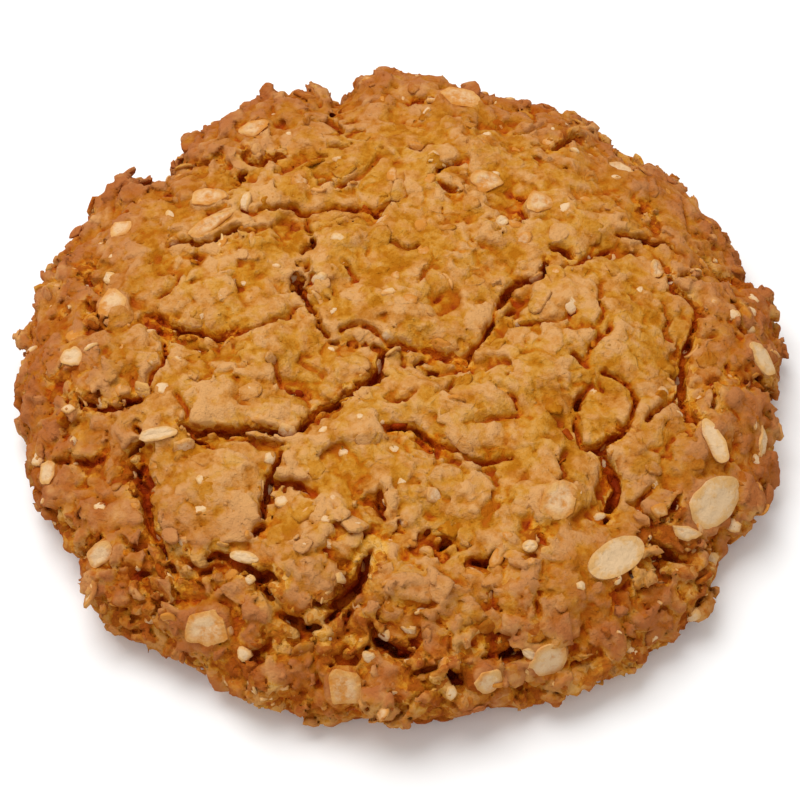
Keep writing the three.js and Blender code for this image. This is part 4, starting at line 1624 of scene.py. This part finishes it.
@dataclass(frozen=True)
class FlakeShape:
    """Form of an oat flake: thin, curled, creased along the middle, with ragged and broken edges.

    Attributes:
        thickness: In millimetres.
        curl: How far the ends rise, in millimetres.
        crease: Depth of the crease along the middle, in millimetres.
        ragged: Roughness of the edge as a share of its radius.
        rings: Shares of the radius at which the flake has rings of points.
        sides: Points in a ring.
    """

    thickness: float = 0.5
    curl: float = -0.12
    crease: float = 0.08
    ragged: float = 0.17
    rings: tuple[float, ...] = (0.3, 0.55, 0.75, 0.9, 0.97, 1.0)
    sides: int = 36

    def outline(self, draw: np.random.Generator, angle: np.ndarray, worn: float) -> np.ndarray:
        """Edge of a flake: oval, ragged, with sides broken off straight.

        Args:
            draw: Source of chance.
            angle: Directions from the middle in radians.
            worn: How ragged and broken it is, from 0 to 1.

        Returns:
            The radius in each direction, about 1.
        """
        waves = np.zeros_like(angle)
        for order in range(2, 9):
            height = draw.normal() / order
            waves += height * np.cos(order * angle + draw.uniform(0, TURN))
        edge = 1.0 + worn * self.ragged * waves
        for _ in range(3):
            facing = np.cos(angle - draw.uniform(0, TURN))
            edge = np.minimum(edge, (1.0 - worn * draw.uniform(0.0, 0.38)) / np.maximum(facing, 0.3))
        return edge

    def shape(
        self, length: float, width: float, seed: int, worn: float = 1.0
    ) -> tuple[np.ndarray, np.ndarray, np.ndarray]:
        """Shapes one flake, lying flat at the origin.

        Args:
            length: In millimetres.
            width: In millimetres.
            seed: Number for its edge and its waves.
            worn: How ragged and broken its edge is, from 0 to 1.

        Returns:
            Points in millimetres, how near each is to the edge from 0 to 1, and triangles.
        """
        draw = np.random.default_rng(seed)
        angle = np.arange(self.sides) / self.sides * 2 * math.pi
        outline = self.outline(draw, angle, worn)
        phases = draw.uniform(0, TURN, 3)
        tops, bottoms = [np.zeros((1, 3))], [np.zeros((1, 3))]
        for share in self.rings:
            x = share * outline * np.cos(angle)
            y = share * outline * np.sin(angle)
            thick = self.thickness / 2 * math.sqrt(1.0 - (share * 0.93) ** 6)
            bend = self.curl * (x**2 + 0.4 * y**2) + 0.1 * np.sin(2 * angle + phases[0]) * share**2
            ripple = 0.05 * np.sin(7 * x + phases[1]) * np.cos(6 * y + phases[2])
            groove = self.crease * np.exp(-((y / 0.16) ** 2)) * (1.0 - share**4)
            flat = np.stack([x * length / 2, y * width / 2], axis=1)
            tops.append(np.column_stack([flat, bend + ripple + thick - groove]))
            bottoms.append(np.column_stack([flat, bend - thick]))
        tops[0][0, 2] = self.thickness / 2 - self.crease
        bottoms[0][0, 2] = -self.thickness / 2
        half = 1 + self.sides * len(self.rings)
        faces = []
        for side in range(self.sides):
            after = (side + 1) % self.sides
            faces += [(0, 1 + side, 1 + after), (half, half + 1 + after, half + 1 + side)]
            for ring in range(len(self.rings) - 1):
                near, far = 1 + ring * self.sides, 1 + (ring + 1) * self.sides
                faces += [(near + side, far + side, far + after), (near + side, far + after, near + after)]
                near, far = near + half, far + half
                faces += [(near + side, far + after, far + side), (near + side, near + after, far + after)]
            rim = half - self.sides
            below = half + rim
            faces += [(rim + side, below + side, below + after), (rim + side, below + after, rim + after)]
        edge = np.concatenate([[0.0], np.repeat(self.rings, self.sides)])
        return np.concatenate(tops + bottoms), np.tile(edge, 2), np.array(faces)


@dataclass
class LargeFlakes:
    """The large oat flakes, each where the photograph shows it.

    Attributes:
        form: Their form.
        lift: How far a flake's middle lies above the crust, in millimetres.
        lie: Reach over which the direction of the crust under them is averaged, in millimetres.
        fold: Angle between two faces from which the edge between them is sharp, in degrees.
    """

    form: FlakeShape = FlakeShape()
    lift: float = 0.0
    lie: float = 4.0
    fold: float = 55.0

    seats: list[Seat] = field(init=False)
    piece: bpy.types.Object = field(init=False)

    def place(self, view: Viewpoint, crust: Volume) -> None:
        """Finds where the flakes lie on the crust.

        Args:
            view: Where the photograph was taken from.
            crust: Distances to the crust.
        """
        outward = crust.like((crust.values < 0).astype(np.float32)).blurred(self.lie)
        self.seats = []
        rays = np.array([view.ray(spot.pixel) for spot in LARGE_FLAKES])
        hits = crust.meet(np.array(view.stand()), rays)
        for spot, hit, up in zip(LARGE_FLAKES, hits, outward.slope(hits)):
            up = Vector(up)
            heading = Vector((math.cos(math.radians(spot.turn)), math.sin(math.radians(spot.turn)), 0.0))
            heading = (heading - heading.dot(up) * up).normalized()
            lie = Matrix((heading, up.cross(heading), up)).transposed()
            lie = np.array(lie @ Matrix.Rotation(math.radians(spot.tilt), 3, "X"))
            self.seats.append(Seat(spot, hit + self.lift * lie[:, 2], lie))

    def build(self) -> None:
        """Makes every large flake in its place, all as one piece."""
        points, edges, pales, faces = [], [], [], []
        clean = [seat for seat in self.seats if not seat.spot.coated()]
        for number, seat in enumerate(clean):
            spot = seat.spot
            shape, edge, triangles = self.form.shape(spot.length, spot.width, number, spot.worn())
            faces.append(triangles + number * len(shape))
            points.append(shape @ seat.lie.T + seat.middle)
            edges.append(edge)
            pales.append(np.full(len(shape), spot.pale))
        mesh = bpy.data.meshes.new("large_flakes")
        mesh.from_pydata((np.concatenate(points) * MM).tolist(), [], np.concatenate(faces).tolist())
        mesh.shade_smooth()
        mesh.set_sharp_from_angle(angle=math.radians(self.fold))
        store(mesh, "edge", np.concatenate(edges))
        store(mesh, "tint", np.concatenate(pales))
        self.piece = new_piece("large_flakes", mesh)

    def dress(self, material: bpy.types.Material) -> None:
        """Gives the flakes their finish and their place in the frame."""
        self.piece.data.materials.append(material)
        settle(self.piece)


class Bit(Enum):
    """What is scattered over the crust."""

    GRIT = "crust_grit"
    CRUMB = "loose_crumbs"
    COATED = "coated_flakes"
    OAT = "small_flakes"
    SHRED = "coconut_shreds"


@dataclass(frozen=True)
class Sowing:
    """How one kind of bit is scattered over the crust, in millimetres.

    Attributes:
        bit: What is scattered.
        spacing: Least distance between two.
        plates: Share of the places taken on whole plates.
        size: Length of the largest.
        smallest: Length of the smallest as a share of that.
        tints: Darkest and palest.
        lean: Most that one leans out of the crust, in radians.
        sink: How far it is pressed into the crust.
        forms: Number of different forms.
        foot: Height below which the crust stays bare.
    """

    bit: Bit
    spacing: float
    plates: float
    size: float
    smallest: float
    tints: tuple[float, float]
    lean: float
    sink: float
    forms: int = 8
    foot: float = 5.0


SOWINGS = [
    Sowing(Bit.GRIT, 0.95, 0.25, 0.9, 0.45, (0.0, 1.0), 0.6, 0.3),
    Sowing(Bit.CRUMB, 2.2, 0.04, 2.0, 0.35, (0.0, 1.0), 0.7, 0.5),
    Sowing(Bit.COATED, 4.2, 0.8, 4.4, 0.4, (0.0, 1.0), 0.13, 0.18),
    Sowing(Bit.OAT, 2.8, 0.25, 3.0, 0.3, (0.35, 0.95), 0.25, 0.2),
    Sowing(Bit.SHRED, 12.0, 0.6, 3.4, 0.5, (0.0, 1.0), 0.15, 0.15, 5),
]


@dataclass
class Scatter:
    """One kind of bit scattered over the crust by a geometry tree.

    Attributes:
        sowing: How it is scattered.
        crowding: Places tried on a square as wide as the spacing.
    """

    sowing: Sowing
    crowding: float = 1.5
    piece: bpy.types.Object = field(init=False)

    def lump(self, seed: int) -> bpy.types.Mesh:
        """Shapes one crumb: a small ball, dented and squashed.

        Args:
            seed: Number for its dents.

        Returns:
            Its mesh.
        """
        shape = bmesh.new()
        fine = 2 if self.sowing.bit is Bit.CRUMB else 1
        bmesh.ops.create_icosphere(shape, subdivisions=fine, radius=self.sowing.size * MM / 2)
        draw = np.random.default_rng(seed)
        for vertex in shape.verts:
            vertex.co *= draw.uniform(0.5, 1.2)
            vertex.co.z *= 0.6
        mesh = bpy.data.meshes.new("lump")
        shape.to_mesh(mesh)
        shape.free()
        return mesh

    def fragment(self, seed: int) -> bpy.types.Mesh:
        """Shapes one small flake or a broken piece of one.

        Args:
            seed: Number for its edge.

        Returns:
            Its mesh.
        """
        form = FlakeShape(thickness=0.7, curl=-0.3, crease=0.0, ragged=0.2, rings=(0.5, 0.85, 1.0), sides=11)
        width = self.sowing.size * np.random.default_rng(seed).uniform(0.5, 0.85)
        points, edge, faces = form.shape(self.sowing.size, width, seed)
        mesh = bpy.data.meshes.new("fragment")
        mesh.from_pydata((points * MM).tolist(), [], faces.tolist())
        store(mesh, "edge", edge)
        return mesh

    def strip(self, seed: int) -> bpy.types.Mesh:
        """Shapes one shred: a thin bent strip that narrows to its ends.

        Args:
            seed: Number for its bend.

        Returns:
            Its mesh.
        """
        draw = np.random.default_rng(seed)
        sides = [(-0.5, -0.2), (0.5, -0.2), (0.5, 0.2), (-0.5, 0.2)]
        rings = 6
        last = 4 * (rings - 1)
        bend = draw.uniform(-0.7, 0.7)
        points = []
        for share in np.linspace(-1.0, 1.0, rings):
            width = 0.7 * (1.0 - 0.6 * share**2)
            middle = np.array([share * self.sowing.size / 2, bend * share**2, 0.15 * draw.normal()])
            points += [middle + np.array([0.0, side * width, up * 1.2]) for side, up in sides]
        faces = [(0, 3, 2, 1), (last, last + 1, last + 2, last + 3)]
        for start in range(0, last, 4):
            for side in range(4):
                after = (side + 1) % 4
                faces.append((start + side, start + after, start + 4 + after, start + 4 + side))
        mesh = bpy.data.meshes.new("strip")
        mesh.from_pydata([tuple(point * MM) for point in points], [], faces)
        return mesh

    def forms(self) -> bpy.types.Collection:
        """Makes the different forms of the bit, away from the scene.

        Returns:
            A collection of them.
        """
        flakes = {Bit.COATED: self.fragment, Bit.OAT: self.fragment}
        makers = flakes | {Bit.GRIT: self.lump, Bit.CRUMB: self.lump, Bit.SHRED: self.strip}
        forms = bpy.data.collections.new(f"{self.sowing.bit.value}_forms")
        for seed in range(self.sowing.forms):
            mesh = makers[self.sowing.bit](Seed.FORMS + seed)
            mesh.shade_smooth()
            forms.objects.link(bpy.data.objects.new(f"{self.sowing.bit.value}_form_{seed}", mesh))
        return forms

    @staticmethod
    def tree() -> bpy.types.GeometryNodeTree:
        """Builds the tree that scatters bits over a mesh.

        Returns:
            The tree, with its inputs by name.
        """
        group = bpy.data.node_groups.new("scatter", "GeometryNodeTree")
        inputs = {"Geometry": "Geometry", "Forms": "Collection", "Finish": "Material", "Seed": "Int"}
        numbers = ("Spacing", "Density", "Plates", "Smallest", "Lean", "Sink", "Darkest", "Palest", "Foot")
        for name, kind in (inputs | {name: "Float" for name in numbers}).items():
            group.interface.new_socket(name, in_out="INPUT", socket_type=f"NodeSocket{kind}")
        group.interface.new_socket("Geometry", in_out="OUTPUT", socket_type="NodeSocketGeometry")
        tree = Tree(group)
        given = {socket.name: Socket(tree, socket) for socket in tree.node("NodeGroupInput").outputs}
        lean = given["Lean"]
        named, number = "GeometryNodeInputNamedAttribute", {"data_type": "FLOAT"}
        crumb = tree.output(named, number, {"Name": "crumb"})
        covered = tree.output(named, number, {"Name": "covered"})
        place = tree.output("GeometryNodeInputPosition")
        height = tree.output("ShaderNodeSeparateXYZ", {}, {0: place}, "Z")
        raised = height.join("GREATER_THAN", height, given["Foot"])
        bare = covered.join("LESS_THAN", covered, 0.05)
        factor = (given["Plates"] + (1.0 - given["Plates"]) * crumb) * raised * bare
        spread = tree.node(
            "GeometryNodeDistributePointsOnFaces",
            {"distribute_method": "POISSON"},
            {
                "Mesh": given["Geometry"],
                "Distance Min": given["Spacing"],
                "Density Max": given["Density"],
                "Density Factor": factor,
                "Seed": given["Seed"],
            },
        )
        least = tree.output("ShaderNodeCombineXYZ", {}, {0: lean * -1.0, 1: lean * -1.0, 2: 0.0})
        most = tree.output("ShaderNodeCombineXYZ", {}, {0: lean, 1: lean, 2: 2 * math.pi})
        chance = "FunctionNodeRandomValue"
        spin = tree.output(chance, {"data_type": "FLOAT_VECTOR"}, {0: least, 1: most, 8: Seed.SPIN})
        spin = tree.output("FunctionNodeEulerToRotation", {}, {0: spin})
        sockets = {0: spread.outputs["Rotation"], 1: spin}
        turned = tree.output("FunctionNodeRotateRotation", {"rotation_space": "LOCAL"}, sockets)
        size = tree.output(chance, number, {2: given["Smallest"], 3: 1.0, 8: Seed.SIZE}, 1)
        pick = tree.output(chance, {"data_type": "INT"}, {4: 0, 5: 1000, 8: Seed.PICK}, 2)
        sockets = {"Collection": given["Forms"], "Separate Children": True, "Reset Children": True}
        forms = tree.output("GeometryNodeCollectionInfo", {}, sockets)
        sockets = {
            "Points": spread.outputs["Points"],
            "Instance": forms,
            "Pick Instance": True,
            "Instance Index": pick,
            "Rotation": turned,
            "Scale": size,
        }
        bits = tree.output("GeometryNodeInstanceOnPoints", {}, sockets)
        sink = tree.output("ShaderNodeCombineXYZ", {}, {2: given["Sink"] * -1.0})
        sockets = {"Instances": bits, "Translation": sink, "Local Space": True}
        pressed = tree.output("GeometryNodeTranslateInstances", {}, sockets)
        tint = tree.output(chance, number, {2: given["Darkest"], 3: given["Palest"], 8: Seed.TINT}, 1)
        settings = {"data_type": "FLOAT", "domain": "INSTANCE"}
        sockets = {"Geometry": pressed, "Name": "tint", "Value": tint}
        tinted = tree.output("GeometryNodeStoreNamedAttribute", settings, sockets)
        whole = tree.output("GeometryNodeRealizeInstances", {}, {0: tinted})
        sockets = {"Geometry": whole, "Material": given["Finish"]}
        dressed = tree.output("GeometryNodeSetMaterial", {}, sockets)
        tree.node("NodeGroupOutput", {}, {0: dressed})
        return group

    def build(self, tree: bpy.types.GeometryNodeTree, dough: Dough, material: bpy.types.Material) -> None:
        """Scatters the bits over the dough and turns them into plain mesh.

        Args:
            tree: The tree that scatters.
            dough: The dough that carries them.
            material: Their finish.
        """
        sowing = self.sowing
        forms = self.forms()
        self.piece = new_piece(sowing.bit.value, dough.piece.data)
        modifier = self.piece.modifiers.new("scatter", "NODES")
        modifier.node_group = tree
        values = {
            "Forms": forms,
            "Finish": material,
            "Seed": Seed.SCATTER.value,
            "Spacing": sowing.spacing * MM,
            "Density": self.crowding / (sowing.spacing * MM) ** 2,
            "Plates": sowing.plates,
            "Smallest": sowing.smallest,
            "Lean": sowing.lean,
            "Sink": sowing.sink * MM,
            "Darkest": sowing.tints[0],
            "Palest": sowing.tints[1],
            "Foot": sowing.foot * MM,
        }
        for item in tree.interface.items_tree:
            if item.name in values:
                modifier[item.identifier] = values[item.name]
        bake_modifiers(self.piece)
        for form in list(forms.objects):
            bpy.data.objects.remove(form)
        bpy.data.collections.remove(forms)

    def dress(self) -> None:
        """Gives the bits their place in the frame."""
        settle(self.piece)


@dataclass(frozen=True)
class Lamp:
    """A soft square lamp that shines on the biscuit.

    Attributes:
        name: Its name.
        place: Where it hangs, in metres.
        size: Its width in metres.
        power: Its power in watts.
    """

    name: str
    place: tuple[float, float, float]
    size: float
    power: float

    def build(self) -> None:
        """Hangs the lamp and turns it to the biscuit."""
        data = bpy.data.lights.new(self.name, "AREA")
        data.size = self.size
        data.energy = self.power
        lamp = bpy.data.objects.new(self.name, data)
        lamp.location = self.place
        lamp.rotation_euler = (-Vector(self.place)).to_track_quat("-Z", "Y").to_euler()
        bpy.context.scene.collection.objects.link(lamp)


@dataclass(frozen=True)
class Studio:
    """The floor, the light and the camera.

    Attributes:
        view: Where the photograph was taken from.
        key: The main lamp, at the back left.
        fill: The weak lamp, at the front left.
        sky: Colour of the light from all around.
        glow: Strength of that light.
        reach: Half the floor's width in metres.
    """

    view: Viewpoint
    key: Lamp = Lamp("key_lamp", (-0.16, 0.2, 0.6), 0.46, 3.5)
    fill: Lamp = Lamp("fill_lamp", (-0.24, -0.45, 0.4), 0.5, 0.35)
    sky: Colour = (1.0, 0.99, 0.97)
    glow: float = 0.64
    reach: float = 2.0

    def build(self) -> None:
        """Makes the camera, the light and the floor."""
        scene = bpy.context.scene
        scene.camera = self.view.camera()
        scene.view_settings.view_transform = "Standard"
        world = bpy.data.worlds.new("studio")
        world.use_nodes = True
        around = world.node_tree.nodes["Background"]
        around.inputs["Color"].default_value = (*self.sky, 1.0)
        around.inputs["Strength"].default_value = self.glow
        scene.world = world
        self.key.build()
        self.fill.build()
        mesh = bpy.data.meshes.new("floor")
        signs = ((-1, -1), (1, -1), (1, 1), (-1, 1))
        corners = [(east * self.reach, north * self.reach, 0.0) for east, north in signs]
        mesh.from_pydata(corners, [], [range(len(corners))])
        mesh.materials.append(PaleFloor().material())
        new_piece("floor", mesh)


def main() -> None:
    """Builds the biscuit's looks piece by piece."""
    logging.basicConfig(level=logging.INFO, format="%(name)s: %(message)s")
    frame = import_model()
    view = Viewpoint()
    dough = Dough()
    flakes = LargeFlakes()
    dough.measure(frame["nodes"][NODE])
    flakes.place(view, dough.crust())
    dough.build(view, flakes.seats)
    crust = BakedCrust().material()
    oat = RolledOat().material()
    dough.dress(crust)
    flakes.build()
    flakes.dress(oat)
    finishes = {Bit.OAT: oat, Bit.SHRED: ToastedShred().material()}
    tree = Scatter.tree()
    for sowing in SOWINGS:
        scatter = Scatter(sowing)
        scatter.build(tree, dough, finishes.get(sowing.bit, crust))
        scatter.dress()
    Studio(view).build()


if __name__ == "__main__":
    main()
